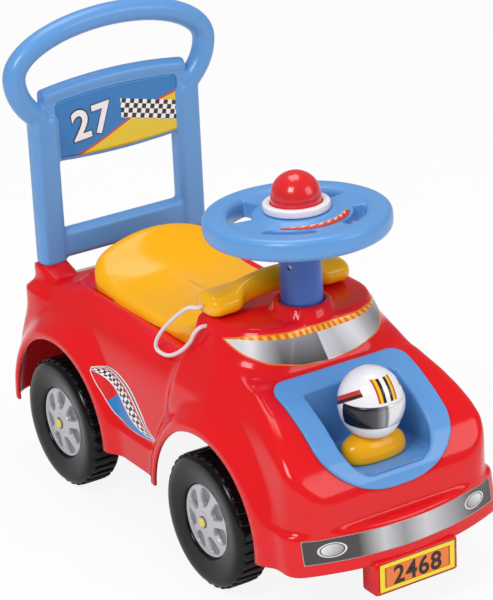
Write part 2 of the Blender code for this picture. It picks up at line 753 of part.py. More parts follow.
def steering_parts(materials):
    """Everything that turns with the steering wheel, and its guide."""
    frame = steering_frame()
    origin = (0, STEER_Y, TYRE_RADIUS)
    shaft_profile = ((0, SHAFT_LOW), (SHAFT_RADIUS, SHAFT_LOW), (SHAFT_RADIUS, SHAFT_TOP), (0, SHAFT_TOP))
    shaft = turned("shaft", shaft_profile, 16, matrix=frame)
    done(shaft, "steering_shaft", materials["steel"], origin)

    rim_mid = WHEEL_Z - TYRE_RADIUS
    hub_low = rim_mid - HUB_HEIGHT / 2
    bore = SHAFT_RADIUS + GAP
    inner = COLUMN_RADIUS - COLUMN_WALL
    column_top = hub_low - GAP
    column_profile = (
        (bore, column_top), (COLUMN_RADIUS, column_top), (COLUMN_RADIUS, COLUMN_LOW),
        (inner, COLUMN_LOW), (inner, column_top - 0.005), (bore, column_top - 0.005),
    )
    column = turned("column", column_profile, 20, loop=True, matrix=frame)
    screw_height = SCREW_HEIGHT
    azimuth = math.radians(SCREW_AZIMUTH)
    spoke = Vector((math.cos(azimuth), math.sin(azimuth), 0))
    outer_end = spoke * (COLUMN_RADIUS + 0.001) + Vector((0, 0, screw_height))
    inner_end = spoke * (SHAFT_RADIUS + 2 * GAP) + Vector((0, 0, screw_height))
    hole = rod("screw hole", frame @ inner_end, frame @ outer_end, SCREW_HEAD * 0.7 + GAP, 12)
    cut(column, hole)
    done(column, "steering_column", materials["blue"], origin)
    recess = spoke * (COLUMN_RADIUS - 0.002) + Vector((0, 0, screw_height))
    screw = rod("screw", frame @ inner_end, frame @ recess, SCREW_HEAD * 0.7, 12)
    done(screw, "column_screw", materials["steel"], origin)

    slide = SHAFT_RADIUS + RUN_GAP
    cup_bore = COLUMN_RADIUS + 2 * RUN_GAP
    guide_profile = (
        (slide, YOKE_TOP + GAP), (GUIDE_RADIUS, YOKE_TOP + GAP), (GUIDE_RADIUS, GUIDE_TOP - GUIDE_CUP),
        (cup_bore + WALL, GUIDE_TOP - GUIDE_CUP + 0.006), (cup_bore + WALL, GUIDE_TOP),
        (cup_bore, GUIDE_TOP), (cup_bore, COLUMN_LOW - 0.002), (slide, COLUMN_LOW - 0.006),
    )
    guide = turned("guide", guide_profile, 16, loop=True, matrix=frame)
    done(guide, "column_guide", materials["black"])

    front_yoke(frame, materials["black"], origin)
    steering_wheel(frame, rim_mid, materials["blue"], origin)
    horn(frame, rim_mid + HUB_HEIGHT / 2, materials, origin)


def front_yoke(frame, material, origin):
    """Cross bar that carries the front axle below the steering shaft."""
    side = YOKE_SIDE / 2
    corner = YOKE_SIDE * 0.3
    outline = rounded_outline(side, -side, side, corner, corner, 2)
    rings = []
    for x in (-YOKE_HALF, YOKE_HALF):
        rings.append([(x, FRONT_AXLE_Y + a, TYRE_RADIUS + b) for a, b in outline])
    yoke = solid("yoke", rings)
    boss = ((YOKE_BOSS, 0), (YOKE_BOSS, YOKE_TOP - 0.002), (YOKE_BOSS - 0.002, YOKE_TOP))
    join(yoke, turned("yoke boss", boss, 20, matrix=frame))
    hole = SHAFT_RADIUS + GAP
    cut(yoke, turned("shaft hole", ((hole, SHAFT_LOW - GAP), (hole, YOKE_TOP + 0.01)), 16, matrix=frame))
    ends = [(s * (YOKE_HALF + 0.01), FRONT_AXLE_Y, TYRE_RADIUS) for s in (-1, 1)]
    cut(yoke, rod("axle hole", *ends, AXLE_RADIUS + GAP, 16))
    done(yoke, "front_yoke", material, origin)


def sector(start, end, inner, outer, low, high, frame):
    """Cutter for one window of the steering wheel."""
    def arc(radius, first, last):
        return [(radius * math.cos(math.radians(first + (last - first) * i / 4)),
                 radius * math.sin(math.radians(first + (last - first) * i / 4))) for i in range(5)]
    outline = arc(outer, start, end) + arc(inner, end, start)
    return solid("window", [at_height(outline, low), at_height(outline, high)], matrix=frame)


def steering_wheel(frame, rim_mid, material, origin):
    """Thick-rimmed wheel with four spokes between four windows."""
    middle = RIM_OUTER - RIM_TUBE_X
    section = []
    for i in range(7):
        angle = 2 * math.pi * i / 7
        section.append((middle + RIM_TUBE_X * math.cos(angle), rim_mid + RIM_TUBE_Z * math.sin(angle)))
    rim = turned("rim", section, 30, loop=True, matrix=frame)
    low = rim_mid - HUB_HEIGHT / 2
    top = rim_mid + HUB_HEIGHT / 2
    web_low = rim_mid - SPOKE_THICK / 2
    web_top = rim_mid + SPOKE_THICK / 2
    plate_profile = (
        (0, low), (HUB_RADIUS, low), (HUB_RADIUS + 0.002, web_low), (middle, web_low),
        (middle, web_top), (HUB_RADIUS + 0.004, web_top), (HUB_RADIUS, top), (0, top),
    )
    plate = turned("plate", plate_profile, 20, matrix=frame)
    windows = ((10, 76, 0.042, 0.0665), (104, 170, 0.042, 0.0665),
               (204, 256, 0.048, 0.0650), (284, 336, 0.048, 0.0650))
    for start, end, inner, outer in windows:
        cut(plate, sector(start, end, inner, outer, web_low - 0.01, web_top + 0.01, frame))
    join(rim, plate)
    steps = 20
    pocket = (DOME_FLANGE + GAP) / math.cos(math.pi / steps)
    cut(rim, turned("horn pocket", ((pocket, top - POCKET_DEPTH), (pocket, top + 0.01)), steps, matrix=frame))
    hole = SHAFT_RADIUS + GAP
    cut(rim, turned("shaft hole", ((hole, low - 0.01), (hole, SHAFT_TOP + GAP)), 16, matrix=frame))
    done(rim, "steering_wheel", material, origin)


def horn(frame, hub_top, materials, origin):
    """White collar, the dome that is pressed, and the squeaker under it."""
    base = hub_top + GAP
    inner = DOME_RADIUS + RUN_GAP
    top = base + COLLAR_HEIGHT
    collar_profile = (
        (inner, base), (COLLAR_RADIUS, base), (COLLAR_RADIUS, top - 0.003),
        (COLLAR_RADIUS - 0.003, top), (inner + 0.001, top), (inner, top - 0.001),
    )
    collar = turned("collar", collar_profile, 20, loop=True, matrix=frame)
    done(collar, "horn_collar", materials["white"], origin)

    flange_top = hub_top - GAP
    flange_low = flange_top - DOME_WALL
    centre = top + DOME_SKIRT
    outer_arc = [0.5 * math.pi * i / 5 for i in range(6)]
    outer_skin = [(DOME_RADIUS * math.cos(a), centre + DOME_RADIUS * math.sin(a)) for a in outer_arc[:-1]]
    shell = DOME_RADIUS - DOME_WALL
    inner_arc = [0.5 * math.pi * i / 3 for i in range(4)]
    inner_skin = [(shell * math.cos(a), centre + shell * math.sin(a)) for a in inner_arc[:-1]]
    profile = [(0, centre + DOME_RADIUS), *reversed(outer_skin), (DOME_RADIUS, flange_top),
               (DOME_FLANGE, flange_top), (DOME_FLANGE, flange_low), (shell, flange_low),
               *inner_skin, (0, centre + shell)]
    dome = turned("dome", profile, 18, matrix=frame)
    done(dome, "horn_dome", materials["dome"], origin)

    floor = hub_top - POCKET_DEPTH + GAP
    bulb_top = centre + shell - HORN_TRAVEL - BULB_CLEAR
    bulb_profile = (
        (0, floor), (BULB_FOOT, floor), (BULB_RADIUS, floor + BULB_EDGE),
        (BULB_WAIST, floor + BULB_EDGE + BULB_FOLD), (BULB_RADIUS, floor + BULB_EDGE + 2 * BULB_FOLD),
        (BULB_NECK, bulb_top - BULB_FOLD), (BULB_TIP, bulb_top), (0, bulb_top),
    )
    bulb = turned("bulb", bulb_profile, 16, matrix=frame)
    done(bulb, "horn_squeaker", materials["white"], origin)


def bonnet_path(steps):
    """Places along the bonnet, forward from the windscreen, as (run, point, normal)."""
    knots = [Vector(p) for p in reversed(BONNET)]
    knots[0] = knots[0].lerp(knots[1], 0.8)
    normals = []
    for a, b in zip(knots, knots[1:]):
        along = (b - a).normalized()
        normals.append(Vector((along.y, -along.x)))
    path, run = [], 0.0
    for i, (a, b) in enumerate(zip(knots, knots[1:])):
        joined = (normals[max(i - 1, 0)] + normals[i]).normalized()
        path.append((run, a, joined / joined.dot(normals[i])))
        for k in range(1, steps):
            path.append((run + (b - a).length * k / steps, a.lerp(b, k / steps), normals[i]))
        run += (b - a).length
    path.append((run, knots[-1], normals[-1]))
    return path


def tray_width(run):
    """Half width of the tray at a distance along the bonnet."""
    start = max(0.0, 1 - (run - TRAY_START) / TRAY_CORNER)
    end = max(0.0, 1 - (TRAY_START + TRAY_LENGTH - run) / TRAY_NOSE_LENGTH)
    width = TRAY_HALF - TRAY_CORNER * (1 - math.sqrt(max(0.0, 1 - start ** 2)))
    return width - TRAY_NOSE_HALF * (1 - math.sqrt(max(0.0, 1 - end ** 2)))


def pocket_outline(spread):
    """Plan outline of the cockpit pocket."""
    return rounded_outline(POCKET_HALF + spread, POCKET_FRONT - spread, POCKET_BACK + spread,
                           0.024 + spread, 0.006 + spread, 6)


def bonnet_tray(material):
    """Blue insert that follows the bonnet, with a cockpit pocket."""
    rings = []
    for run, point, normal in bonnet_path(3):
        if not TRAY_START <= run <= TRAY_START + TRAY_LENGTH:
            continue
        half = tray_width(run)
        levels = ((half, TRAY_LIFT), (half, TRAY_PROUD * 0.6), (half - 0.002, TRAY_PROUD))
        side = [(x, point + normal * lift) for x, lift in levels]
        ring = [(x, p.x, p.y) for x, p in side]
        rings.append(ring + [(-x, y, z) for x, y, z in reversed(ring)])
    tray = solid("tray", rings)
    skin = [point + normal * TRAY_PROUD for run, point, normal in bonnet_path(2)]
    under = [(p.x, p.y) for p in skin] + [(skin[-1].x, 0.05), (skin[0].x, 0.05)]
    reach = POCKET_HALF + 0.02
    below = solid("below", [[(x, y, z) for y, z in under] for x in (-reach, reach)])
    outer = pocket_outline(POCKET_WALL)
    pocket = solid("pocket", [at_height(outer, POCKET_FLOOR - POCKET_WALL), at_height(outer, 0.25)])
    combine(pocket, below, "INTERSECT")
    join(tray, pocket)
    inner = pocket_outline(0.0)
    cut(tray, solid("hollow", [at_height(inner, POCKET_FLOOR), at_height(inner, 0.26)]))
    return done(tray, "bonnet_tray", material)


def driver(materials):
    """Toy driver: shoulders with a neck peg, helmet and visor."""
    base = POCKET_FLOOR + GAP
    height = SHOULDERS_TOP - base
    rings = []
    for share, size in ((0.0, 0.90), (0.25, 1.0), (0.6, 0.96), (0.85, 0.78), (1.0, 0.45)):
        ring = []
        for i in range(20):
            angle = 2 * math.pi * i / 20
            x = SHOULDERS_HALF * size * math.copysign(abs(math.cos(angle)) ** 0.8, math.cos(angle))
            y = SHOULDERS_DEEP * size * math.sin(angle) - SHOULDERS_FORWARD * (1 - share)
            ring.append((x, DRIVER_Y + y, base + share * height))
        rings.append(ring)
    shoulders = solid("shoulders", rings)
    join(shoulders, rod("neck", (0, DRIVER_Y, base + 0.01), (0, DRIVER_Y, NECK_TOP), NECK_RADIUS, 14))
    done(shoulders, "driver_shoulders", materials["yellow"])

    middle = 0.5 * (HELMET_LOW + HELMET_TOP)
    half = 0.5 * (HELMET_TOP - HELMET_LOW)
    place = Matrix.Translation((0, DRIVER_Y, middle))
    skin = []
    for i in range(9):
        angle = -math.radians(62) + math.radians(152) * i / 8
        skin.append((HELMET_RADIUS * math.cos(angle), half * math.sin(angle)))
    skin[-1] = (0, half)
    hole = NECK_RADIUS + GAP
    deep = NECK_TOP + GAP - middle
    floor = skin[0][1]
    profile = [(0, deep), (hole, deep), (hole, floor), *skin]
    helmet = turned("helmet", profile, 18, matrix=place)
    done(helmet, "driver_helmet", materials["white"])

    rings = []
    for i in range(13):
        azimuth = math.radians(-170 + 160 * i / 12)
        ring = []
        for radius_gain, z in ((GAP * 2, VISOR_LOW), (VISOR_WALL, VISOR_LOW), (VISOR_WALL, VISOR_TOP),
                               (GAP * 2, VISOR_TOP)):
            widest = HELMET_RADIUS + radius_gain
            ring.append((widest * math.cos(azimuth), DRIVER_Y + widest * math.sin(azimuth), z))
        rings.append(ring)
    done(solid("visor", rings), "driver_visor", materials["visor"])


def seat_height(x, y):
    """Top of the saddle-shaped seat."""
    ys = (SEAT_FRONT, -0.020, 0.015, 0.060, 0.110, 0.140, 0.158, 0.170, SEAT_REAR)
    zs = (0.0415, 0.0300, 0.0170, 0.0115, 0.0135, 0.0230, 0.0380, 0.0455, 0.0420)
    drops = (0.003, 0.003, 0.004, 0.004, 0.006, 0.012, 0.020, 0.022, 0.022)
    rise = np.interp(y, ys, zs)
    drop = np.interp(y, ys, drops)
    return DECK_Z + float(rise - drop * (x / SEAT_HALF) ** 2)


def seat_ring(shrink, drop, floor=None):
    """One ring of the seat, a step in from its outline."""
    middle = 0.5 * (SEAT_FRONT + SEAT_REAR)
    half_y = 0.5 * (SEAT_REAR - SEAT_FRONT)
    ring = []
    for x, y in rounded_outline(SEAT_HALF, SEAT_FRONT, SEAT_REAR, SEAT_CORNER, SEAT_CORNER, 4):
        x *= 1 - shrink / SEAT_HALF
        y = middle + (y - middle) * (1 - shrink / half_y)
        height = seat_height(x, y) - drop if floor is None else floor
        ring.append((x, y, height))
    return ring


def seat_lid(material):
    """Hinged seat, a thin shell with a skirt and two hinge knuckles."""
    skirt = DECK_Z + SEAT_SKIRT
    rings = [
        seat_ring(0.060, WALL), seat_ring(0.030, WALL), seat_ring(0.012, WALL + 0.0005),
        seat_ring(WALL + 0.002, WALL + 0.004), seat_ring(WALL, 0, skirt),
        seat_ring(0.0, 0, skirt), seat_ring(0.0, 0.0065), seat_ring(0.0018, 0.0022),
        seat_ring(0.006, 0.0), seat_ring(0.018, 0.0), seat_ring(0.036, 0.0), seat_ring(0.056, 0.0),
    ]
    seat = solid("seat", rings)
    for side in (-1, 1):
        start = (side * KNUCKLE_INNER, HINGE_Y, HINGE_Z)
        end = (side * (KNUCKLE_INNER + KNUCKLE_WIDTH), HINGE_Y, HINGE_Z)
        join(seat, rod("knuckle", start, end, KNUCKLE_RADIUS - 0.0004, 16))
        near, far = sorted((start[0], end[0]))
        low = (near, SEAT_REAR - WALL * 0.7, HINGE_Z - WALL)
        join(seat, block("tongue", low, (far, HINGE_Y, HINGE_Z + WALL)))
    ends = [(s * (KNUCKLE_INNER + KNUCKLE_WIDTH + 0.002), HINGE_Y, HINGE_Z) for s in (-1, 1)]
    cut(seat, rod("pin hole", *ends, HINGE_RADIUS + RUN_GAP, 12))
    done(seat, "seat_lid", material, (0, HINGE_Y, HINGE_Z))


def hinge_pin(material):
    """Pin through the seat's knuckles and the ears on the deck."""
    reach = KNUCKLE_INNER + KNUCKLE_WIDTH + EAR_WIDTH
    pin = rod("pin", (-reach, HINGE_Y, HINGE_Z), (reach, HINGE_Y, HINGE_Z), HINGE_RADIUS, 12)
    done(pin, "seat_hinge_pin", material)


def storage_bin(material):
    """Open bin hung in the deck below the seat."""
    def ring(spread, z):
        corner = 0.012 + spread
        outline = rounded_outline(BIN_HALF + spread, BIN_FRONT - spread, BIN_REAR + spread,
                                  corner, corner, 3)
        return at_height(outline, z)
    lip = DECK_Z + GAP
    rings = [
        ring(-BIN_WALL * 2, BIN_FLOOR), ring(-0.0006, lip), ring(BIN_FLANGE, lip),
        ring(BIN_FLANGE, lip + BIN_WALL), ring(-BIN_WALL, lip + BIN_WALL),
        ring(-BIN_WALL * 3, BIN_FLOOR + BIN_WALL),
    ]
    done(solid("bin", rings), "storage_bin", material)


def backrest(materials):
    """Moulded backrest with its push handle, and the screws below it."""
    stub_low = SOCKET_LOW + SOCKET_FLOOR + GAP
    frame = None
    for side in (-1, 1):
        thin = post_outline(STUB_SHRINK, side)
        full = post_outline(0.0, side)
        seat = SOCKET_TOP + GAP
        rings = [at_height(thin, stub_low), at_height(thin, seat), at_height(full, seat),
                 at_height(full, POST_TOP - 0.006), at_height(post_outline(0.004, side), POST_TOP)]
        post = solid("post", rings)
        pilot = SCREW_RADIUS + GAP
        spot = (side * POST_X, POST_Y)
        cut(post, rod("pilot", (*spot, stub_low - 0.01), (*spot, stub_low + SCREW_BITE + GAP), pilot, 10))
        if frame is None:
            frame = post
        else:
            join(frame, post)
    reach = POST_X
    for low, high, depth in ((BAR_LOW, BAR_TOP, BAR_DEPTH), (PANEL_LOW, PANEL_TOP, PANEL_DEPTH)):
        outline = [(POST_Y + a, 0.5 * (low + high) + b) for a, b in
                   rounded_outline(depth / 2, -(high - low) / 2, (high - low) / 2, 0.005, 0.005, 2)]
        rings = [[(x, y, z) for y, z in outline] for x in (-reach, reach)]
        join(frame, solid("bar", rings))
    ends = [(s * reach, POST_Y, PANEL_TOP - 0.001) for s in (-1, 1)]
    join(frame, rod("roll", *ends, ROLL_RADIUS, 14))
    join(frame, handle_tube())
    done(frame, "backrest_frame", materials["blue"], sharp=40)

    for side, tag in ((-1, "right"), (1, "left")):
        place = Matrix.Translation((side * POST_X, POST_Y, 0))
        head = SOCKET_LOW - GAP
        top = stub_low + SCREW_BITE
        profile = ((0, head - 0.002), (SCREW_HEAD, head - 0.002), (SCREW_HEAD, head),
                   (SCREW_RADIUS, head), (SCREW_RADIUS, top), (0, top))
        screw = turned("screw", profile, 12, matrix=place)
        done(screw, "backrest_screw_" + tag, materials["steel"])


def handle_tube():
    """Oval tube of the push handle, from post to post."""
    drop = math.asin(math.sqrt(1 - ((POST_X + 0.001) / HANDLE_HALF) ** 2))
    rings = []
    steps = 20
    for i in range(steps + 1):
        angle = -drop + (math.pi + 2 * drop) * i / steps
        height = HANDLE_RISE if math.sin(angle) > 0 else HANDLE_DROP
        centre = Vector((HANDLE_HALF * math.cos(angle), POST_Y, HANDLE_Z + height * math.sin(angle)))
        along = Vector((-HANDLE_HALF * math.sin(angle), 0, height * math.cos(angle))).normalized()
        out = Vector((along.z, 0, -along.x))
        ring = []
        for k in range(8):
            turn = 2 * math.pi * k / 8
            ring.append(centre + out * HANDLE_TUBE * math.cos(turn) + Vector((0, HANDLE_TUBE * math.sin(turn), 0)))
        rings.append(ring)
    return solid("handle", rings)


def handset(material):
    """Toy telephone handset that lies across the cowl."""
    ear = HANDSET_HALF - EAR_X
    stations = ((1.0, 0.20), (0.95, 0.62), (0.75, 0.92), (0.35, 1.0), (0.0, 1.0), (-0.55, 0.95))
    places = [(EAR_X + ear * share, EAR_DEEP * size, EAR_HIGH * size) for share, size in stations]
    places += [(EAR_X - ear * 0.85, BAR_DEEP * 1.15, BAR_HIGH), (EAR_X - ear * 1.3, BAR_DEEP, BAR_HIGH),
               (0.014, BAR_DEEP, BAR_HIGH)]
    mirrored = [(-x, deep, high) for x, deep, high in reversed(places)]
    rings = []
    bottom = COWL_TOP + GAP
    for x, deep, high in places + mirrored:
        share = min(1.0, abs(x) / (EAR_X - ear * 0.4))
        lift = HANDSET_ARCH * (1 - share ** 2)
        middle = bottom + EAR_HIGH + lift
        ring = []
        for i in range(12):
            angle = 2 * math.pi * i / 12
            c, s = math.cos(angle), math.sin(angle)
            ring.append((HANDSET_X + x, HANDSET_Y + deep * math.copysign(abs(c) ** 0.75, c),
                         middle + high * math.copysign(abs(s) ** 0.75, s)))
        rings.append(ring)
    done(solid("handset", rings), "handset", material, (0, HANDSET_Y, bottom), sharp=50)


def smooth_path(points, count):
    """Evenly spaced points on a smooth curve through the route."""
    knots = [Vector(p) for p in points]
    ends = [knots[0] * 2 - knots[1], *knots, knots[-1] * 2 - knots[-2]]
    dense = []
    for a, b, c, d in zip(ends, ends[1:], ends[2:], ends[3:]):
        for k in range(12):
            t = k / 12
            dense.append(0.5 * (2 * b + (c - a) * t + (2 * a - 5 * b + 4 * c - d) * t * t
                                + (3 * b - 3 * c + d - a) * t ** 3))
    dense.append(knots[-1])
    travelled = np.cumsum([0.0] + [(q - p).length for p, q in zip(dense, dense[1:])])
    marks = np.linspace(0, travelled[-1], count)
    return [[float(np.interp(m, travelled, [p[i] for p in dense])) for i in range(3)] for m in marks]


def cord(material):
    """White cord between the handset and the cowl."""
    curve = bpy.data.curves.new("cord", "CURVE")
    curve.dimensions = "3D"
    curve.bevel_depth = CORD_RADIUS
    curve.bevel_resolution = 2
    curve.use_fill_caps = True
    spline = curve.splines.new("POLY")
    path = smooth_path(CORD_ROUTE, CORD_POINTS)
    spline.points.add(len(path) - 1)
    for point, place in zip(spline.points, path):
        point.co = (*place, 1.0)
    curve.materials.append(material)
    thing = bpy.data.objects.new("handset_cord", curve)
    bpy.context.scene.collection.objects.link(thing)


def main():
    """Build every piece."""
    for thing in list(bpy.data.objects):
        bpy.data.objects.remove(thing)
    red = finish("red_moulding", RED, 0.18)
    materials = {
        "blue": finish("blue_moulding", BLUE, 0.25),
        "yellow": finish("yellow_moulding", YELLOW, 0.25),
        "tyre": finish("black_tyre", BLACK, 0.35),
        "black": finish("black_moulding", BLACK, 0.45),
        "hubcap": finish("grey_hubcap", GREY, 0.35),
        "cap": finish("yellow_axle_cap", (0.80, 0.72, 0.10), 0.35),
        "steel": finish("steel_rod", STEEL, 0.35, 1.0),
        "white": finish("white_moulding", WHITE, 0.30),
        "dome": finish("red_horn", (0.82, 0.01, 0.015), 0.22),
        "visor": finish("chrome_visor", (0.62, 0.62, 0.64), 0.12, 0.8),
    }
    body_shell(red)
    for tag, side, axle_y in (("front_right", -1, FRONT_AXLE_Y), ("front_left", 1, FRONT_AXLE_Y),
                              ("rear_right", -1, REAR_AXLE_Y), ("rear_left", 1, REAR_AXLE_Y)):
        wheel(tag, side, axle_y, materials)
    for name, axle_y in (("front_axle", FRONT_AXLE_Y), ("rear_axle", REAR_AXLE_Y)):
        ends = [(s * AXLE_HALF, axle_y, TYRE_RADIUS) for s in (-1, 1)]
        done(rod(name, *ends, AXLE_RADIUS, 16), name, materials["steel"])
    steering_parts(materials)
    bonnet_tray(materials["blue"])
    driver(materials)
    seat_lid(materials["yellow"])
    hinge_pin(materials["steel"])
    storage_bin(materials["black"])
    backrest(materials)
    handset(materials["yellow"])
    cord(finish("white_cord", WHITE, 0.8))


main()
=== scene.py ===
"""Looks of a foot-to-floor ride-on car for a small child.

Smooth mouldings, stickers, wheels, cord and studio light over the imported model.
Metres, +Z up. The car drives towards -Y and its left side is +X.
"""

import logging
import math
from collections.abc import Callable, Iterator, Sequence
from contextlib import contextmanager
from dataclasses import dataclass
from enum import Enum

import bmesh
import bpy
import numpy as np
from mathutils import Matrix, Vector


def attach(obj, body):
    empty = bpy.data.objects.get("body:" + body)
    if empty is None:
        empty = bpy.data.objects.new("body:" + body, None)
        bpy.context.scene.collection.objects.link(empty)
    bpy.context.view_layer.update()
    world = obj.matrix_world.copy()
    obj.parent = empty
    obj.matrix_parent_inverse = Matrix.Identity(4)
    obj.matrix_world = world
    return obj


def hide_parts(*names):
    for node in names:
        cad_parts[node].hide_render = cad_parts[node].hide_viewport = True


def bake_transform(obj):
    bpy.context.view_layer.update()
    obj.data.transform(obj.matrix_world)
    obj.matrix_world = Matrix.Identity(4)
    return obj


LOG = logging.getLogger("ride_on_car")
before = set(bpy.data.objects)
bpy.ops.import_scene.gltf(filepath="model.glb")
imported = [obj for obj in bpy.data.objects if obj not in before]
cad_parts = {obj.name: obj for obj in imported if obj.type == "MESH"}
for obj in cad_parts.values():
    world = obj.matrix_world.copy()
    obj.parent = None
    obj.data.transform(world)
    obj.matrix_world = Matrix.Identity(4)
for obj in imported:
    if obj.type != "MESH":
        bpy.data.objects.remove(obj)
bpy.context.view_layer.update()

Array = np.ndarray
Material = bpy.types.Material
Mesh = bpy.types.Mesh
Node = bpy.types.Node
Object = bpy.types.Object
Socket = bpy.types.NodeSocket
Tree = bpy.types.NodeTree

WHEEL_CENTRE_Z = 0.066
DECK_Z = 0.197
FILM = 0.00015
MATH, VECTOR, MIX = "ShaderNodeMath", "ShaderNodeVectorMath", "ShaderNodeMix"
BELOW, ABOVE = "LESS_THAN", "GREATER_THAN"


class Side(Enum):
    """Side of the car, as the sign of X."""

    LEFT = 1
    RIGHT = -1


class Axle(Enum):
    """Axle of the car, as its place along Y."""

    FRONT = -0.110
    REAR = 0.160


# Nodes and finishes


def linear(code: str) -> tuple[float, float, float, float]:
    """Turn an sRGB hex colour, such as #FFFFFF, to linear light with an alpha of one."""
    parts = [int(code[i:i + 2], 16) / 255 for i in (1, 3, 5)]
    return (*[c / 12.92 if c <= 0.04045 else ((c + 0.055) / 1.055) ** 2.4 for c in parts], 1.0)


def add(
    tree: Tree, kind: str, inputs: dict | Sequence = (), stops: Sequence = (), **settings: object,
) -> Node:
    """Add one node with its settings and links.

    Args:
        tree: Node tree that gets the node.
        kind: Blender's type name of the node.
        inputs: Socket names to inputs, or a row of inputs for the open sockets in their order.
            An input is a value, a hex colour, a socket, or a node for its first open output.
        stops: Places and hex colours of a colour ramp.
        **settings: Properties of the node.

    Returns:
        The new node.
    """
    node = tree.nodes.new(kind)
    for key, value in settings.items():
        setattr(node, key, value)
    for i, (place, code) in enumerate(stops):
        stop = node.color_ramp.elements[i] if i < 2 else node.color_ramp.elements.new(place)
        stop.position, stop.color = place, linear(code)
    if not isinstance(inputs, dict):
        inputs = dict(zip([i for i, socket in enumerate(node.inputs) if socket.enabled], inputs))
    for key, value in inputs.items():
        if isinstance(value, Node):
            value = next(socket for socket in value.outputs if socket.enabled)
        if isinstance(value, Socket):
            tree.links.new(value, node.inputs[key])
        else:
            node.inputs[key].default_value = linear(value) if isinstance(value, str) else value
    return node


def print_layers(tree: Tree, colour: object, rows: Sequence[tuple]) -> Node:
    """Lay printed colours over one another.

    Args:
        tree: Node tree.
        colour: The ground.
        rows: Each layer's place, comparison, limit and colour.

    Returns:
        The node of the last layer.
    """
    for place, test, limit, layer in rows:
        share = add(tree, MATH, (place, limit), operation=test)
        colour = add(tree, MIX, (share, colour, layer), data_type="RGBA")
    return colour


def piece_map(tree: Tree) -> tuple[Node, Socket, Socket, Socket]:
    """The piece's own map, its two numbers, and the distance to the piece's edge."""
    uv = add(tree, "ShaderNodeUVMap", uv_map="UVMap")
    along, across, _ = add(tree, "ShaderNodeSeparateXYZ", (uv,)).outputs
    return uv, along, across, add(tree, "ShaderNodeAttribute", attribute_name="edge").outputs["Fac"]


@dataclass(frozen=True)
class Finish:
    """Surface with one gloss, whose kinds say how its colour comes about."""

    name: str
    roughness: float = 0.3
    coat: float = 0.0
    metallic: float = 0.0

    def paint(self, tree: Tree) -> dict[str, object]:
        """Add the nodes of the pattern and say what goes to the shader."""
        raise NotImplementedError

    def build(self) -> Material:
        """Make the material."""
        material = bpy.data.materials.new(self.name)
        material.use_nodes = True
        tree = material.node_tree
        tree.nodes.clear()
        gloss = {"Roughness": self.roughness, "Coat Weight": self.coat, "Metallic": self.metallic}
        shader = add(tree, "ShaderNodeBsdfPrincipled", gloss | self.paint(tree))
        add(tree, "ShaderNodeOutputMaterial", (shader,))
        return material


@dataclass(frozen=True)
class Moulding(Finish):
    """Plain moulding, or drawn steel: even colour, soft waviness and a light mottle in the gloss."""

    colour: str = "#FFFFFF"
    mottle_mm: float = 14.0
    mottle: float = 0.05
    specular: float = 0.5

    def paint(self, tree: Tree) -> dict[str, object]:
        """Add cloudy colour and gloss, and the slow waves of a cooling wall, about 25 mm apart."""
        place = add(tree, "ShaderNodeTexCoord").outputs["Object"]
        scale = 1000 / self.mottle_mm
        cloud = add(tree, "ShaderNodeTexNoise", {"Vector": place, "Scale": scale, "Detail": 3.0})
        swell = add(tree, "ShaderNodeTexNoise", {"Vector": place, "Scale": 40.0, "Detail": 1.0})
        shade = tuple(c * (1 - self.mottle) for c in linear(self.colour)[:3]) + (1.0,)
        return {
            "Base Color": add(tree, MIX, (cloud, self.colour, shade), data_type="RGBA"),
            "Roughness": add(tree, "ShaderNodeMapRange", {
                "Value": cloud, "To Min": self.roughness * 0.8, "To Max": self.roughness * 1.2}),
            "Normal": add(tree, "ShaderNodeBump", {"Height": swell, "Strength": 0.25, "Distance": 0.0006}),
            "Specular IOR Level": self.specular,
            "Coat Roughness": 0.06,
        }


# Blow-moulded polyethylene body: bright red with clear, slightly wavy highlights
RED_BODY = Moulding("blown_red_polyethylene", 0.15, 0.16, colour="#E8121A", specular=0.32)
# Injection-moulded polypropylene: satin sky blue, and a darker copy of it for the column, as painted shade
BLUE_FRAME = Moulding("satin_blue_polypropylene", 0.30, 0.10, colour="#629DDD")
BLUE_COLUMN_SHADED = Moulding("shaded_blue_polypropylene", 0.32, 0.10, colour="#345FB2")
# Glossy warm yellow moulding of the seat, handset and figure
YELLOW_SEAT = Moulding("gloss_yellow_polypropylene", 0.18, 0.10, colour="#FFB608", specular=0.35)
# Blow-moulded wheel: black, with hard bright highlights
BLACK_WHEEL = Moulding("gloss_black_polyethylene", 0.13, colour="#100E12", mottle=0.2, specular=0.28)
# Recycled black plastic of the hidden brackets and the bin
BLACK_BRACKET = Moulding("matte_black_polypropylene", 0.50, colour="#1C1A1C", mottle=0.2)
WHITE_PART = Moulding("white_polystyrene", 0.28, 0.25, colour="#F3F0F6", mottle=0.02)
RED_HORN = Moulding("gloss_red_soft_vinyl", 0.22, 0.5, colour="#E51A20")
# Zinc-plated steel rod and screws, drawn, so lightly streaked
ZINC_STEEL = Moulding("zinc_plated_steel", 0.34, 0.0, 1.0, "#B9BCC0", mottle_mm=3.0, mottle=0.15)
# Inks of the printed figures
BROWN_INK = Moulding("black_print_ink", 0.4, colour="#2A1512")
BLACK_INK = Moulding("black_film_ink", 0.35, colour="#1B1619")


# Mesh helpers


def put(name: str, mesh: Mesh) -> Object:
    """Place a mesh in the scene as an object."""
    thing = bpy.data.objects.new(name, mesh)
    bpy.context.scene.collection.objects.link(thing)
    return thing


@contextmanager
def opened(mesh: Mesh) -> Iterator[bmesh.types.BMesh]:
    """Open a mesh for edits and write it back."""
    bm = bmesh.new()
    bm.from_mesh(mesh)
    yield bm
    bm.to_mesh(mesh)
    bm.free()


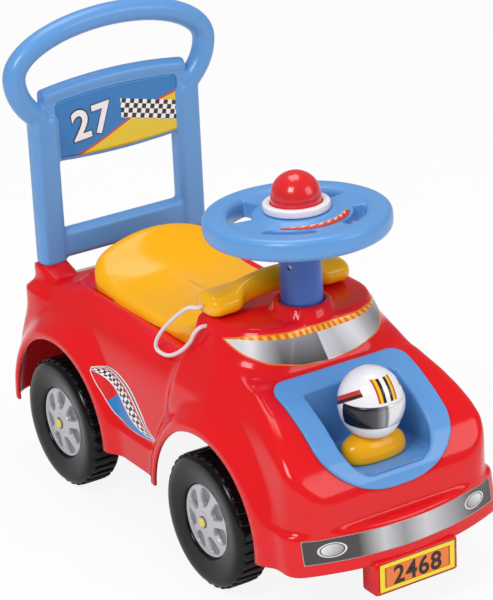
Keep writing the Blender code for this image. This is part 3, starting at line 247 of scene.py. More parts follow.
def make_mesh(
    name: str, points: Array, faces: Sequence, material: Material, uv: Array | None = None, **values: Array,
) -> Object:
    """Make a smooth-shaded object from points and faces.

    Args:
        name: Piece name.
        points: Array of points, three numbers each.
        faces: Corner numbers of each face.
        material: Finish of the whole piece.
        uv: A pair of numbers for each point, if the finish reads them.
        **values: Named numbers for each point.

    Returns:
        The linked object.
    """
    mesh = bpy.data.meshes.new(name)
    mesh.from_pydata([tuple(map(float, p)) for p in points], [], [tuple(map(int, f)) for f in faces])
    if uv is not None:
        corners = np.zeros(len(mesh.loops), np.int32)
        mesh.loops.foreach_get("vertex_index", corners)
        layer = mesh.uv_layers.new(name="UVMap")
        layer.data.foreach_set("uv", np.asarray(uv, np.float32)[corners].ravel())
    for key, numbers in values.items():
        attribute = mesh.attributes.new(key, "FLOAT", "POINT")
        attribute.data.foreach_set("value", np.asarray(numbers, np.float32))
    mesh.materials.append(material)
    mesh.shade_smooth()
    return put(name, mesh)


def grid_faces(rows: int, columns: int, ring: bool = False) -> list[tuple[int, int, int, int]]:
    """Faces of a grid of points; ring joins the last column to the first."""
    span = columns if ring else columns - 1
    return [
        (r * columns + c, r * columns + (c + 1) % columns,
         (r + 1) * columns + (c + 1) % columns, (r + 1) * columns + c)
        for r in range(rows - 1) for c in range(span)
    ]


def sheet(
    name: str, rows: int, columns: int, place: Callable[[float, float], Sequence[float]], material: Material,
) -> Object:
    """Make a sheet whose shares along and up are also its map.

    Args:
        name: Piece name.
        rows: Points up the sheet.
        columns: Points along it.
        place: Gives the point for a share along and a share up.
        material: Finish.

    Returns:
        The new object.
    """
    shares = [(c / (columns - 1), r / (rows - 1)) for r in range(rows) for c in range(columns)]
    points = np.array([tuple(place(*share)) for share in shares])
    return make_mesh(name, points, grid_faces(rows, columns), material, np.array(shares))


def mend(thing: Object, merge: float = 1e-6) -> Object:
    """Merge doubles, drop loose bits and turn the faces outwards."""
    with opened(thing.data) as bm:
        bmesh.ops.remove_doubles(bm, verts=bm.verts, dist=merge)
        bmesh.ops.dissolve_degenerate(bm, edges=bm.edges, dist=merge)
        bmesh.ops.recalc_face_normals(bm, faces=bm.faces)
    return thing


def loft(name: str, rings: Sequence, material: Material, closed: bool = True, loop: bool = False) -> Object:
    """Skin a list of equal rings.

    Args:
        name: Piece name.
        rings: Rings of points.
        material: Finish.
        closed: Close the two ends with a cap.
        loop: Join the last ring to the first.

    Returns:
        The new object.
    """
    array = np.array(rings, float)
    rows, columns = array.shape[:2]
    last = (rows - 1) * columns
    faces: list[Sequence[int]] = grid_faces(rows, columns, ring=True)
    if loop:
        faces += [(last + c, last + (c + 1) % columns, (c + 1) % columns, c) for c in range(columns)]
    elif closed:
        faces += [tuple(range(columns)), tuple(range(last, last + columns))]
    return mend(make_mesh(name, array.reshape(-1, 3), faces, material))


def revolve(
    name: str, profile: Sequence[tuple[float, float]], material: Material,
    matrix: Matrix = Matrix(), steps: int = 96, loop: bool = False,
) -> Object:
    """Turn a profile about the matrix's Z axis.

    Args:
        name: Piece name.
        profile: Pairs of radius and height.
        material: Finish.
        matrix: Place of the axis.
        steps: Sides of the circle.
        loop: Close the profile on itself, round a bore.

    Returns:
        The new object.
    """
    angles = np.linspace(0, 2 * math.pi, steps, endpoint=False)
    rings = [[matrix @ Vector((radius * math.cos(a), radius * math.sin(a), height)) for a in angles]
             for radius, height in profile]
    return loft(name, rings, material, closed=False, loop=loop)


def unit_ring(steps: int, power: float = 1.0, power_y: float | None = None) -> list[tuple[float, float]]:
    """Points round a unit circle; a power below one makes it squarer."""
    ring = []
    for k in range(steps):
        c, s = math.cos(2 * math.pi * k / steps), math.sin(2 * math.pi * k / steps)
        ring.append((math.copysign(abs(c) ** power, c), math.copysign(abs(s) ** (power_y or power), s)))
    return ring


def rounded(profile: Sequence, radius: float, steps: int = 5) -> list[tuple[float, float]]:
    """Round the inner corners of an open profile."""
    points = [Vector(p) for p in profile]
    result = [tuple(points[0])]
    for before, here, after in zip(points, points[1:], points[2:]):
        into, out = (before - here), (after - here)
        reach = min(radius, into.length * 0.45, out.length * 0.45)
        start, end = here + into.normalized() * reach, here + out.normalized() * reach
        for k in range(steps + 1):
            t = k / steps
            result.append(tuple(start * (1 - t) ** 2 + here * (2 * t * (1 - t)) + end * t ** 2))
    result.append(tuple(points[-1]))
    return result


def outline_box(half: float, low: float, high: float, low_r: float, high_r: float, steps: int) -> Array:
    """Rounded rectangle in plan, with one corner radius in front and one behind."""
    corners = (
        (half - high_r, high - high_r, high_r, 0.0), (high_r - half, high - high_r, high_r, 0.5),
        (low_r - half, low + low_r, low_r, 1.0), (half - low_r, low + low_r, low_r, 1.5),
    )
    points = []
    for x, y, radius, start in corners:
        for k in range(steps + 1):
            angle = math.pi * (start + 0.5 * k / steps)
            points.append((x + radius * math.cos(angle), y + radius * math.sin(angle)))
    return np.array(points)


def curve_through(at: Array, places: Sequence[float], values: Sequence[float]) -> Array:
    """Smooth curve through given values.

    Args:
        at: Where the curve is read.
        places: Rising places of the values.
        values: Values at those places.

    Returns:
        The curve's values.
    """
    places, values = np.array(places), np.array(values)
    slopes = np.gradient(values, places)
    at = np.clip(at, places[0], places[-1])
    left = np.clip(np.searchsorted(places, at, side="right") - 1, 0, len(places) - 2)
    span = places[left + 1] - places[left]
    t = (at - places[left]) / span
    start = values[left] * (1 + 2 * t) * (1 - t) ** 2 + slopes[left] * span * t * (1 - t) ** 2
    return start + values[left + 1] * t * t * (3 - 2 * t) + slopes[left + 1] * span * t * t * (t - 1)


def apply_modifiers(thing: Object) -> Object:
    """Bake an object's modifiers into its mesh."""
    bpy.context.view_layer.update()
    graph = bpy.context.evaluated_depsgraph_get()
    mesh = bpy.data.meshes.new_from_object(thing.evaluated_get(graph))
    thing.modifiers.clear()
    old = thing.data
    thing.data = mesh
    bpy.data.meshes.remove(old)
    mesh.name = thing.name
    mesh.shade_smooth()
    return thing


def thicken(thing: Object, thickness: float, offset: float = 0.0) -> Object:
    """Give a skin its thickness; with an offset of -1 the outside stays in its place."""
    solid = thing.modifiers.new("wall", "SOLIDIFY")
    solid.thickness, solid.offset = thickness, offset
    return apply_modifiers(thing)


def cap_ends(thing: Object) -> Object:
    """Close the small holes that a turned profile leaves on its axis."""
    with opened(thing.data) as bm:
        bmesh.ops.remove_doubles(bm, verts=bm.verts, dist=0.0003)
        bmesh.ops.holes_fill(bm, edges=bm.edges, sides=0)
        bmesh.ops.recalc_face_normals(bm, faces=bm.faces)
    return thing


def subtract(target: Object, tool: Object) -> None:
    """Cut one closed mesh from another."""
    modifier = target.modifiers.new("cut", "BOOLEAN")
    modifier.operation, modifier.solver, modifier.object = "DIFFERENCE", "EXACT", tool
    apply_modifiers(target)
    bpy.data.objects.remove(tool)


def join_parts(name: str, parts: Sequence[Object], sharp: float = 50.0) -> Object:
    """Put several meshes of one finish into one object, sharp at the edges over an angle."""
    bm = bmesh.new()
    for part in parts:
        bm.from_mesh(part.data)
    mesh = bpy.data.meshes.new(name)
    bm.to_mesh(mesh)
    bm.free()
    mesh.materials.append(parts[0].data.materials[0])
    mesh.shade_smooth()
    mesh.set_sharp_from_angle(angle=math.radians(sharp))
    for part in parts:
        bpy.data.objects.remove(part)
    return put(name, mesh)


def both_sides(
    name: str, sections: Sequence, outline: Callable[[float], Sequence], finish: Material,
) -> Object:
    """Make the same small plate on both sides of the car.

    Args:
        name: Piece name.
        sections: Places along X, each with how far the outline draws in there.
        outline: Gives the outline's points along Y and Z for such a step.
        finish: Material.

    Returns:
        Both plates as one object.
    """
    parts = []
    for side in Side:
        rings = [[(side.value * x, y, z) for y, z in outline(inset)] for x, inset in sections]
        parts.append(loft(f"{name}_{side.name.lower()}", rings, finish))
    return join_parts(name, parts)


def fuse(name: str, parts: Sequence[Object], voxel: float, passes: int) -> Object:
    """Fuse closed parts into one skin with small fillets, as a mould gives.

    Args:
        name: Piece name.
        parts: Closed objects of one finish, which are used up.
        voxel: Size of the new mesh's faces.
        passes: Smoothing passes over the new skin.

    Returns:
        The fused object.
    """
    material = parts[0].data.materials[0]
    thing = join_parts(name, parts, 180.0)
    remesh = thing.modifiers.new("skin", "REMESH")
    remesh.mode, remesh.voxel_size, remesh.adaptivity = "VOXEL", voxel, 0.0
    smooth = thing.modifiers.new("fillets", "SMOOTH")
    smooth.factor, smooth.iterations = 0.5, passes
    apply_modifiers(thing)
    thing.data.materials.clear()
    thing.data.materials.append(material)
    return mend(thing)


def settle(thing: Object, body: str, nodes: Sequence[str] = ()) -> None:
    """Put a finished piece on its body, in place of CAD nodes.

    Args:
        thing: The piece.
        body: Name of the moving body that carries it.
        nodes: CAD nodes that it stands for.
    """
    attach(thing, body)
    if nodes:
        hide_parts(*nodes)
    LOG.info("%s rides on %s with %d faces", thing.name, body, len(thing.data.polygons))


# Studio


@dataclass
class Studio:
    """Camera at the photograph's place, pale floor and three soft lamps."""

    target: tuple[float, float, float] = (0.0, -0.001483, 0.219581)
    azimuth: float = -31.901
    elevation: float = 22.919
    roll: float = -2.75
    distance: float = 2.647538
    lens: float = 110.711

    def camera(self) -> None:
        """Set up the camera."""
        azimuth, elevation, roll = (math.radians(a) for a in (self.azimuth, self.elevation, self.roll))
        back = Vector((math.sin(azimuth) * math.cos(elevation), -math.cos(azimuth) * math.cos(elevation),
                       math.sin(elevation)))
        right = Vector((0, 0, 1)).cross(back).normalized()
        up = back.cross(right)
        x_axis = right * math.cos(roll) + up * math.sin(roll)
        y_axis = up * math.cos(roll) - right * math.sin(roll)
        data = bpy.data.cameras.new("camera")
        data.sensor_fit = "VERTICAL"
        data.sensor_height = 24.0
        data.lens = self.lens
        camera = bpy.data.objects.new("camera", data)
        place = Vector(self.target) + back * self.distance
        turn = Matrix((x_axis, y_axis, back)).transposed().to_4x4()
        camera.matrix_world = Matrix.Translation(place) @ turn
        bpy.context.scene.collection.objects.link(camera)
        bpy.context.scene.camera = camera

    def lamp(self, name: str, place: tuple[float, float, float], size: float, power: float) -> None:
        """Hang one square softbox that faces the car."""
        data = bpy.data.lights.new(name, "AREA")
        data.size = size
        data.energy = power
        lamp = bpy.data.objects.new(name, data)
        lamp.location = place
        lamp.rotation_euler = (Vector((0, 0, 0.15)) - Vector(place)).to_track_quat("-Z", "Y").to_euler()
        bpy.context.scene.collection.objects.link(lamp)

    def floor(self) -> None:
        """Lay a white floor that keeps the car's shadow."""
        material = bpy.data.materials.new("white_paper_sweep")
        material.use_nodes = True
        tree = material.node_tree
        tree.nodes.clear()
        paper = add(tree, "ShaderNodeBsdfPrincipled", {"Base Color": "#F4F4F4", "Roughness": 0.9})
        glow = add(tree, "ShaderNodeEmission", {"Color": "#FFFFFF", "Strength": 1.0})
        seen = add(tree, "ShaderNodeLightPath").outputs["Is Camera Ray"]
        share = add(tree, MATH, (seen, 0.90), operation="MULTIPLY")
        mix = add(tree, "ShaderNodeMixShader", (share, paper, glow))
        add(tree, "ShaderNodeOutputMaterial", (mix,))
        corners = ((-1, -1), (1, -1), (1, 1), (-1, 1))
        points = np.array([(30.0 * x, 30.0 * y, -0.0005) for x, y in corners])
        make_mesh("studio_floor", points, [(0, 1, 2, 3)], material)

    def world(self) -> None:
        """Give an even white surround."""
        world = bpy.data.worlds.new("white_surround")
        world.use_nodes = True
        tree = world.node_tree
        tree.nodes.clear()
        ray = add(tree, "ShaderNodeLightPath").outputs
        # the camera sees white; gloss and clear parts see the room at the strength of its light
        clear = add(tree, MATH, (ray["Is Glossy Ray"], ray["Is Transmission Ray"]), operation="MAXIMUM")
        seen = add(tree, MATH, (clear, -0.55, ray["Is Camera Ray"]), operation="MULTIPLY_ADD")
        strength = add(tree, MATH, (seen, 0.48, 0.52), operation="MULTIPLY_ADD")
        light = add(tree, "ShaderNodeBackground", {"Color": "#FFFFFF", "Strength": strength})
        add(tree, "ShaderNodeOutputWorld", (light,))
        bpy.context.scene.world = world

    def build(self) -> None:
        """Set up camera, floor, lamps and surround."""
        self.camera()
        self.floor()
        self.world()
        self.lamp("key", (-1.5, -0.9, 1.9), 0.8, 22.0)
        self.lamp("fill", (1.3, -1.9, 1.3), 1.2, 12.0)
        self.lamp("top", (0.2, 0.5, 2.4), 1.2, 16.0)
        bpy.context.scene.view_settings.view_transform = "Standard"


# Cord


@dataclass(frozen=True)
class BraidedString(Finish):
    """White braided polyester string: fine crossing strands, with painted shade in the gaps between them."""

    strand_mm: float = 1.6

    def paint(self, tree: Tree) -> dict[str, object]:
        """Cross two waves in the tube's own map, in metres along it."""
        uv = piece_map(tree)[0]
        waves = []
        for turns in (2, -2):
            run = add(tree, VECTOR, (uv, (2 * math.pi * turns, 2000 * math.pi / self.strand_mm, 0)),
                      operation="DOT_PRODUCT")
            waves.append(add(tree, MATH, (run,), operation="SINE"))
        weave = add(tree, MATH, waves, operation="MULTIPLY")
        height = add(tree, "ShaderNodeMapRange", {"Value": weave, "From Min": -1.0})
        return {
            # the gaps between strands are darker as painted shade
            "Base Color": add(tree, MIX, (height, "#D9C9D2", "#FBF4F8"), data_type="RGBA"),
            "Normal": add(tree, "ShaderNodeBump", {"Height": height, "Strength": 0.6, "Distance": 0.0004}),
        }


@dataclass
class TelephoneCord:
    """Cord from the handset's end, in a loop over the side, back to the cowl."""

    radius: float = 0.0019
    sides: int = 20
    route: tuple[tuple[float, float, float], ...] = (
        (-0.0838, -0.0585, 0.2545), (-0.0895, -0.0585, 0.2545), (-0.0940, -0.0499, 0.2528),
        (-0.0960, -0.0294, 0.2374), (-0.0980, -0.0076, 0.2173), (-0.0995, 0.0025, 0.2030),
        (-0.1005, 0.0008, 0.1955), (-0.1010, -0.0127, 0.1948), (-0.1005, -0.0267, 0.1989),
        (-0.0990, -0.0425, 0.2088), (-0.0965, -0.0540, 0.2203), (-0.0940, -0.0592, 0.2305),
        (-0.0895, -0.0620, 0.2358), (-0.0815, -0.0620, 0.2358),
    )

    def path(self, per_span: int = 10) -> list[Vector]:
        """Smooth curve through the route."""
        knots = [Vector(p) for p in self.route]
        ends = [knots[0] * 2 - knots[1], *knots, knots[-1] * 2 - knots[-2]]
        points = []
        for a, b, c, d in zip(ends, ends[1:], ends[2:], ends[3:]):
            for k in range(per_span):
                t = k / per_span
                points.append(0.5 * (2 * b + (c - a) * t + (2 * a - 5 * b + 4 * c - d) * t * t
                                     + (3 * b - 3 * c + d - a) * t ** 3))
        return [*points, knots[-1]]

    def build(self) -> None:
        """Make the cord as a tube along its path."""
        path = self.path()
        tangents = [(b - a).normalized() for a, b in zip(path, path[1:])]
        tangents.append(tangents[-1])
        side = Vector((0, 0, 1))
        rings, uv, travelled = [], [], 0.0
        for i, (point, along) in enumerate(zip(path, tangents)):
            side = (side - along * side.dot(along)).normalized()
            across = along.cross(side)
            travelled += (point - path[i - 1]).length if i else 0.0
            for k, (c, s) in enumerate(unit_ring(self.sides)):
                rings.append(point + (side * c + across * s) * self.radius)
                uv.append((k / self.sides, travelled))
        faces: list[Sequence[int]] = grid_faces(len(path), self.sides, ring=True)
        faces.append(tuple(range(self.sides)))
        faces.append(tuple(range(len(rings) - self.sides, len(rings))))
        cord = make_mesh("telephone_cord", np.array(rings), faces,
                         BraidedString("white_braided_string", 0.85).build(), uv=np.array(uv))
        mend(cord)
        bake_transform(cord)
        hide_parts("handset_cord")
        LOG.info("%s bends between phone and car", cord.name)


# Body


def blend_max(a: Array, b: Array, width: float) -> Array:
    """Larger of two distances, with a rounded seam."""
    share = np.clip(0.5 + 0.5 * (a - b) / width, 0, 1)
    return b + (a - b) * share + width * share * (1 - share)


def blend_min(a: Array, b: Array, width: float) -> Array:
    """Smaller of two distances, with a filleted seam."""
    return -blend_max(-a, -b, width)


@dataclass
class BodyForm:
    """Outside of the moulded body, as a signed distance that is negative inside."""

    floor_z: float = 0.058
    door_z: float = 0.0685
    sill: tuple[float, float] = (0.115, 0.058)
    shoulder: tuple[float, float] = (0.1085, 0.166)
    deck: tuple[float, float] = (0.094, DECK_Z)
    nose_y: float = -0.250
    nose_radius: float = 0.058
    tail_y: float = 0.272
    tail_radius: float = 0.034
    edge: float = 0.012
    arch_radius: float = 0.087
    lip: float = 0.003
    flare_width: float = 0.025
    flare_reach: float = 0.1262
    cowl_half: float = 0.082
    cowl_front: float = -0.1285
    cowl_rear: float = -0.042
    cowl_top: float = 0.2435
    cowl_corner: float = 0.055
    cowl_rake: float = 0.36
    cowl_skirt: float = 0.062
    boss_radius: float = 0.027
    boss_top: float = 0.254
    bumper_top: float = 0.098
    bumper_front: float = -0.262
    bumper_lean: float = 0.20
    bumper_sweep: float = 0.027
    bumper_half: float = 0.1165
    post_x: float = 0.0825
    post_y: float = 0.233
    socket_top: float = 0.2065
    bonnet: tuple[tuple[float, float], ...] = (
        (-0.250, 0.100), (-0.2490, 0.122), (-0.2455, 0.132), (-0.2400, 0.141), (-0.2310, 0.152),
        (-0.2180, 0.1645), (-0.2020, 0.176), (-0.1800, 0.1885), (-0.1500, 0.2005), (-0.1200, 0.2040),
    )
    tail: tuple[tuple[float, float], ...] = (
        (0.2150, 0.195), (0.2350, 0.189), (0.2460, 0.177), (0.2520, 0.161), (0.2590, 0.143),
        (0.2660, 0.124), (0.2710, 0.105), (0.272, 0.085),
    )

    def profile(self, y: Array, z: Array) -> Array:
        """Distance to the side view's outline."""
        points = [(self.nose_y, -0.1), *self.bonnet, (self.cowl_rear, DECK_Z), (0.185, DECK_Z),
                  *self.tail, (self.tail_y, -0.1)]
        best = np.full(y.shape, 1e9)
        inside = np.zeros(y.shape, dtype=bool)
        for (y0, z0), (y1, z1) in zip(points, points[1:] + points[:1]):
            dy, dz = y1 - y0, z1 - z0
            share = np.clip(((y - y0) * dy + (z - z0) * dz) / (dy * dy + dz * dz), 0, 1)
            best = np.minimum(best, np.hypot(y - y0 - share * dy, z - z0 - share * dz))
            if dz != 0:
                crosses = (z0 > z) != (z1 > z)
                inside ^= crosses & (y < y0 + (z - z0) * dy / dz)
        return np.where(inside, -best, best)

    @staticmethod
    def wall(x: Array, z: Array, low: tuple[float, float], high: tuple[float, float]) -> Array:
        """Distance outside a straight side wall."""
        run, rise = high[0] - low[0], high[1] - low[1]
        return ((x - low[0]) * rise - (z - low[1]) * run) / math.hypot(run, rise)

    @staticmethod
    def corner(x: Array, y: Array, half: float, reach: float, radius: float) -> Array:
        """Distance to a plan rectangle's rounded corner."""
        return np.hypot(np.maximum(x - half + radius, 0), np.maximum(y - reach + radius, 0)) - radius

    def hull(self, x: Array, y: Array, z: Array) -> Array:
        """Distance to bonnet, sides, deck and tail."""
        section = blend_max(self.wall(x, z, self.sill, self.shoulder),
                            self.wall(x, z, self.shoulder, self.deck), self.edge * 0.6)
        slack = self.edge * 0.4
        half = self.sill[0] + slack
        ends = np.maximum(self.corner(x, -y, half, slack - self.nose_y, self.nose_radius),
                          self.corner(x, y, half, slack + self.tail_y, self.tail_radius))
        return blend_max(blend_max(section, self.profile(y, z), self.edge), ends, self.edge * 0.5)

    def cowl(self, x: Array, y: Array, z: Array) -> Array:
        """Distance to the raised cowl with its raked windscreen."""
        spread = np.clip(self.cowl_top - 0.004 - z, 0, self.cowl_skirt) * self.cowl_rake
        across = x - (self.cowl_half + spread - self.cowl_corner)
        ahead = (self.cowl_front - spread + self.cowl_corner) - y
        plan = np.where(
            (across > 0) & (ahead > 0), np.hypot(across, ahead), np.maximum(across, ahead),
        ) - self.cowl_corner
        plan = blend_max(plan, y - self.cowl_rear, 0.008)
        return blend_max(plan, z - self.cowl_top, 0.007)

    def bumper(self, x: Array, y: Array, z: Array) -> Array:
        """Distance to the bumper below its ledge."""
        share = np.minimum(x / self.bumper_half, 1.0)
        front = self.bumper_front - (self.bumper_top - z) * self.bumper_lean + self.bumper_sweep * share ** 2
        shape = blend_max(front - y, x - self.bumper_half, 0.012)
        return np.maximum(blend_max(shape, z - self.bumper_top, 0.004), y + 0.185)

    def low_edge(self, y: float) -> float:
        """Height of the lower edge, which steps up between the wheels."""
        return self.door_z if -0.035 < y < 0.085 else self.floor_z

    def flare(self, x: Array, y: Array, z: Array, axle_y: float) -> Array:
        """How far the wall swells outwards round a wheel arch."""
        radius = np.hypot(y - axle_y, np.maximum(z - WHEEL_CENTRE_Z, 0))
        share = np.clip((radius - self.arch_radius - self.lip) / self.flare_width, 0, 1)
        swell = 0.5 + 0.5 * np.cos(math.pi * share)
        rise = np.clip((z - self.sill[1]) / (self.shoulder[1] - self.sill[1]), 0, 1)
        wall = self.sill[0] + (self.shoulder[0] - self.sill[0]) * rise
        side = np.clip((x - 0.070) / 0.025, 0, 1)
        return (self.flare_reach - wall) * swell * side * side * (3 - 2 * side)

    def sill_step(self, x: Array, y: Array, z: Array) -> Array:
        """Distance to the ledge under the door, between the wheel arches."""
        return np.maximum(np.maximum(x - 0.1172, z - 0.0965), np.abs(y - 0.028) - 0.080)

    def seat_bead(self, x: Array, y: Array, z: Array) -> Array:
        """Distance to the raised bead round the back of the seat."""
        plan = np.hypot(np.maximum(x - 0.0535, 0), np.maximum(y - 0.1655, 0)) - 0.0285
        plan = np.where((x > 0.0535) | (y > 0.1655), plan, -0.0285)
        fade = np.clip((0.085 - y) / 0.050, 0, 1)
        beyond = np.maximum(0.030 - y, 0)
        return np.sqrt(plan ** 2 + (z - 0.1955 + 0.004 * fade) ** 2 + beyond ** 2) - 0.0048

    def boss(self, x: Array, y: Array, z: Array) -> Array:
        """Distance to the round boss at the foot of the steering column."""
        axis_y = Steering.axis_y(z)
        ring = np.hypot(x, y - axis_y) - self.boss_radius - np.maximum(self.boss_top - z, 0) * 0.16
        return blend_max(ring, z - self.boss_top, 0.0025)

    def socket(self, x: Array, y: Array, z: Array) -> Array:
        """Distance to the sockets of the backrest's posts."""
        across = np.abs(x - self.post_x) - 0.0085
        deep = np.abs(y - self.post_y) - 0.0058
        plan = np.hypot(np.maximum(across, 0), np.maximum(deep, 0)) - 0.0082
        foot = np.clip((0.1935 - z) / 0.012, 0, 1)
        plan = plan - 0.010 * foot * foot
        return np.maximum(blend_max(plan, z - self.socket_top, 0.002), 0.150 - z)

    def distance(self, x: Array, y: Array, z: Array) -> Array:
        """Signed distance to the whole outside."""
        x = np.abs(x)
        value = self.hull(x, y, z)
        for axle in Axle:
            value = value - self.flare(x, y, z, axle.value)
        value = blend_min(value, self.sill_step(x, y, z), 0.005)
        flank = np.clip((x - 0.060) / 0.030, 0, 1)
        value = blend_min(value, self.cowl(x, y, z), 0.006 + 0.016 * flank)
        value = blend_min(value, self.bumper(x, y, z), 0.004)
        value = blend_min(value, self.seat_bead(x, y, z), 0.003)
        value = blend_min(value, self.boss(x, y, z), 0.003)
        return blend_min(value, self.socket(x, y, z), 0.003)

    def normal(self, points: Array) -> Array:
        """Outward direction at points near the surface."""
        step = 0.0004
        parts = []
        for axis in range(3):
            shift = np.zeros(3)
            shift[axis] = step
            parts.append(self.distance(*(points + shift).T) - self.distance(*(points - shift).T))
        slope = np.array(parts).T
        return slope / np.maximum(np.linalg.norm(slope, axis=1, keepdims=True), 1e-12)

    def hit(self, starts: Array, ways: Array, reach: float) -> Array:
        """First point of the surface along each ray from outside.

        Args:
            starts: Points outside the body.
            ways: Unit direction of each ray.
            reach: Length searched.

        Returns:
            Points on the surface.
        """
        low, high = np.zeros(len(starts)), np.full(len(starts), reach)
        found = np.zeros(len(starts), dtype=bool)
        for t in np.linspace(0, reach, 160):
            inside = self.distance(*(starts + ways * t).T) < 0
            high[inside & ~found] = t
            found |= inside
            low[~found] = t
        for _ in range(24):
            middle = 0.5 * (low + high)
            inside = self.distance(*(starts + ways * middle[:, None]).T) < 0
            high, low = np.where(inside, middle, high), np.where(inside, low, middle)
        return starts + ways * high[:, None]

    def raise_to(self, points: Array, lift: float | Array) -> Array:
        """Move points to the surface and then a little above it."""
        for _ in range(4):
            value = self.distance(*points.T)
            points = points - self.normal(points) * value[:, None]
        return points + self.normal(points) * np.broadcast_to(lift, len(points))[:, None]


@dataclass
class Body:
    """The moulded body with its openings and the small mouldings fixed to it."""

    form: BodyForm
    finish: Material
    wall: float = 0.0028
    spine_z: float = 0.060
    spine: tuple[float, float] = (-0.170, 0.185)
    end_rings: int = 50
    spokes: int = 196
    column_radius: float = 0.0212
    column_hole_z: float = 0.240
    seat_hole: tuple[float, float, float] = (0.0645, -0.0205, 0.1505)
    pocket_hole: tuple[float, float, float] = (0.0515, -0.2435, -0.1655)
    pocket_corner: float = 0.024

    def stations(self) -> list[tuple[float, float]]:
        """Tilt and spine place of every ring, from the nose to the tail."""
        front, rear = self.spine
        quarter = 0.5 * math.pi
        ahead = [(quarter * i / self.end_rings, front) for i in range(self.end_rings)]
        places = np.concatenate([
            np.linspace(front, -0.052, 44), np.linspace(-0.049, -0.036, 16), np.linspace(-0.033, rear, 76),
        ])
        middle = [(quarter, float(y)) for y in places]
        behind = [(quarter * (1 + i / self.end_rings), rear) for i in range(1, self.end_rings + 1)]
        return ahead + middle + behind

    def skin(self) -> tuple[Array, int, int]:
        """Sample the outside along rays from the spine."""
        angles = np.linspace(-0.5 * math.pi, 0.5 * math.pi, self.spokes)
        stations = self.stations()
        tilt = np.array([s[0] for s in stations])[:, None]
        start = np.array([s[1] for s in stations])[:, None]
        way = np.stack([
            np.sin(angles) * np.sin(tilt), -np.cos(tilt) * np.ones_like(angles),
            np.cos(angles) * np.sin(tilt),
        ], axis=-1).reshape(-1, 3)
        origin = np.stack(np.broadcast_arrays(0.0, start, self.spine_z), axis=-1)
        origin = np.broadcast_to(origin, (len(stations), self.spokes, 3)).reshape(-1, 3)
        near, far = np.zeros(len(way)), np.full(len(way), 0.4)
        for _ in range(30):
            reach = 0.5 * (near + far)
            outside = self.form.distance(*(origin + way * reach[:, None]).T) > 0
            near, far = np.where(outside, near, reach), np.where(outside, reach, far)
        return origin + way * near[:, None], len(stations), self.spokes

    def is_open(self, centre: Array) -> Array:
        """Which places of the skin lie in an arch, the door's lower edge or a hole."""
        x, y, z = np.abs(centre[:, 0]), centre[:, 1], centre[:, 2]
        gap = (np.abs(y - 0.025) < 0.060) & (z < self.form.door_z - 0.0006)
        for axle in Axle:
            gap |= (np.hypot(y - axle.value, z - WHEEL_CENTRE_Z) < self.form.arch_radius) & (x > 0.090)
        gap |= (np.hypot(x, y - Steering.axis_y(z)) < self.column_radius) & (z > self.column_hole_z)
        half, low, high = self.seat_hole
        gap |= (x < half) & (y > low) & (y < high) & (z > 0.19)
        half, low, high = self.pocket_hole
        across = np.maximum(x - half + self.pocket_corner, 0)
        ahead = np.maximum(low + self.pocket_corner - y, 0)
        return gap | ((np.hypot(across, ahead) < self.pocket_corner) & (y < high) & (z > 0.10))

    def shell(self) -> Object:
        """Make the shell, open below, with its arches and holes."""
        points, rows, columns = self.skin()
        faces = np.array(grid_faces(rows, columns))
        keep = ~self.is_open(points[faces].mean(axis=1))
        shell = mend(make_mesh("body_moulding", points, faces[keep], self.finish), 1e-5)
        self.trim(shell)
        return thicken(shell, self.wall, -1.0)

    def trim(self, shell: Object) -> None:
        """Bring the open edges onto the arches, the column's hole and the lower edge."""
        with opened(shell.data) as bm:
            bmesh.ops.delete(bm, geom=[v for v in bm.verts if not v.link_faces], context="VERTS")
            for vert in (v for v in bm.verts if v.is_boundary):
                x, y, z = vert.co
                if z < self.form.low_edge(y) + 0.0018:
                    vert.co.z = self.form.low_edge(y)
                axis_y = float(Steering.axis_y(np.array(z)))
                away = math.hypot(x, y - axis_y)
                if z > self.column_hole_z and away < 0.03:
                    scale = self.column_radius / away
                    vert.co.x, vert.co.y = x * scale, axis_y + (y - axis_y) * scale
                for axle in Axle:
                    reach = Vector((y - axle.value, z - WHEEL_CENTRE_Z))
                    if abs(x) > 0.09 and abs(reach.length - self.form.arch_radius) < 0.005:
                        reach = reach.normalized() * self.form.arch_radius
                        vert.co.y = axle.value + reach.x
                        vert.co.z = max(WHEEL_CENTRE_Z + reach.y, self.form.low_edge(y))

    def plate_box(self) -> Object:
        """Box that carries the number plate."""
        outline = outline_box(0.0457, -0.272, -0.2500, 0.003, 0.0015, 5)
        middle = np.array([0.0, -0.261])
        rings = []
        for z, inset in ((0.030, 0.0025), (0.0307, 0.0008), (0.032, 0.0), (0.0615, 0.0), (0.0628, 0.0008),
                         (0.0635, 0.0025)):
            scale = np.array([1 - inset / 0.0457, 1 - inset / 0.011])
            rings.append([(x, y, z) for x, y in (outline - middle) * scale + middle])
        return loft("number_plate_box", rings, self.finish)

    def carriers(self) -> Object:
        """Plates inside the body that carry the rear axle."""
        sections = ((0.080, 0.0006), (0.0805, 0.0), (0.0835, 0.0), (0.084, 0.0006))
        return both_sides("rear_axle_carriers", sections, lambda inset: [
            (Axle.REAR.value + a, b)
            for a, b in outline_box(0.026 - inset, 0.052 + inset, 0.188 - inset, 0.006, 0.002, 4)
        ], self.finish)

    def hinge_ears(self) -> Object:
        """Ears on the deck that hold the seat's pin."""
        sections = ((0.0543, 0.0006), (0.0548, 0.0), (0.0578, 0.0), (0.0583, 0.0006))
        return both_sides("seat_hinge_ears", sections, lambda inset: [
            *((0.185 + (0.005 - inset) * math.cos(a), 0.203 + (0.005 - inset) * math.sin(a))
              for a in np.linspace(0, math.pi, 25)),
            (0.180 + inset, 0.1955), (0.190 - inset, 0.1955)], self.finish)

    def build(self) -> None:
        """Make the body and what is moulded on it."""
        settle(self.shell(), "car", ["body_shell"])
        for piece in (self.plate_box(), self.carriers(), self.hinge_ears()):
            settle(piece, "car")


# Stickers


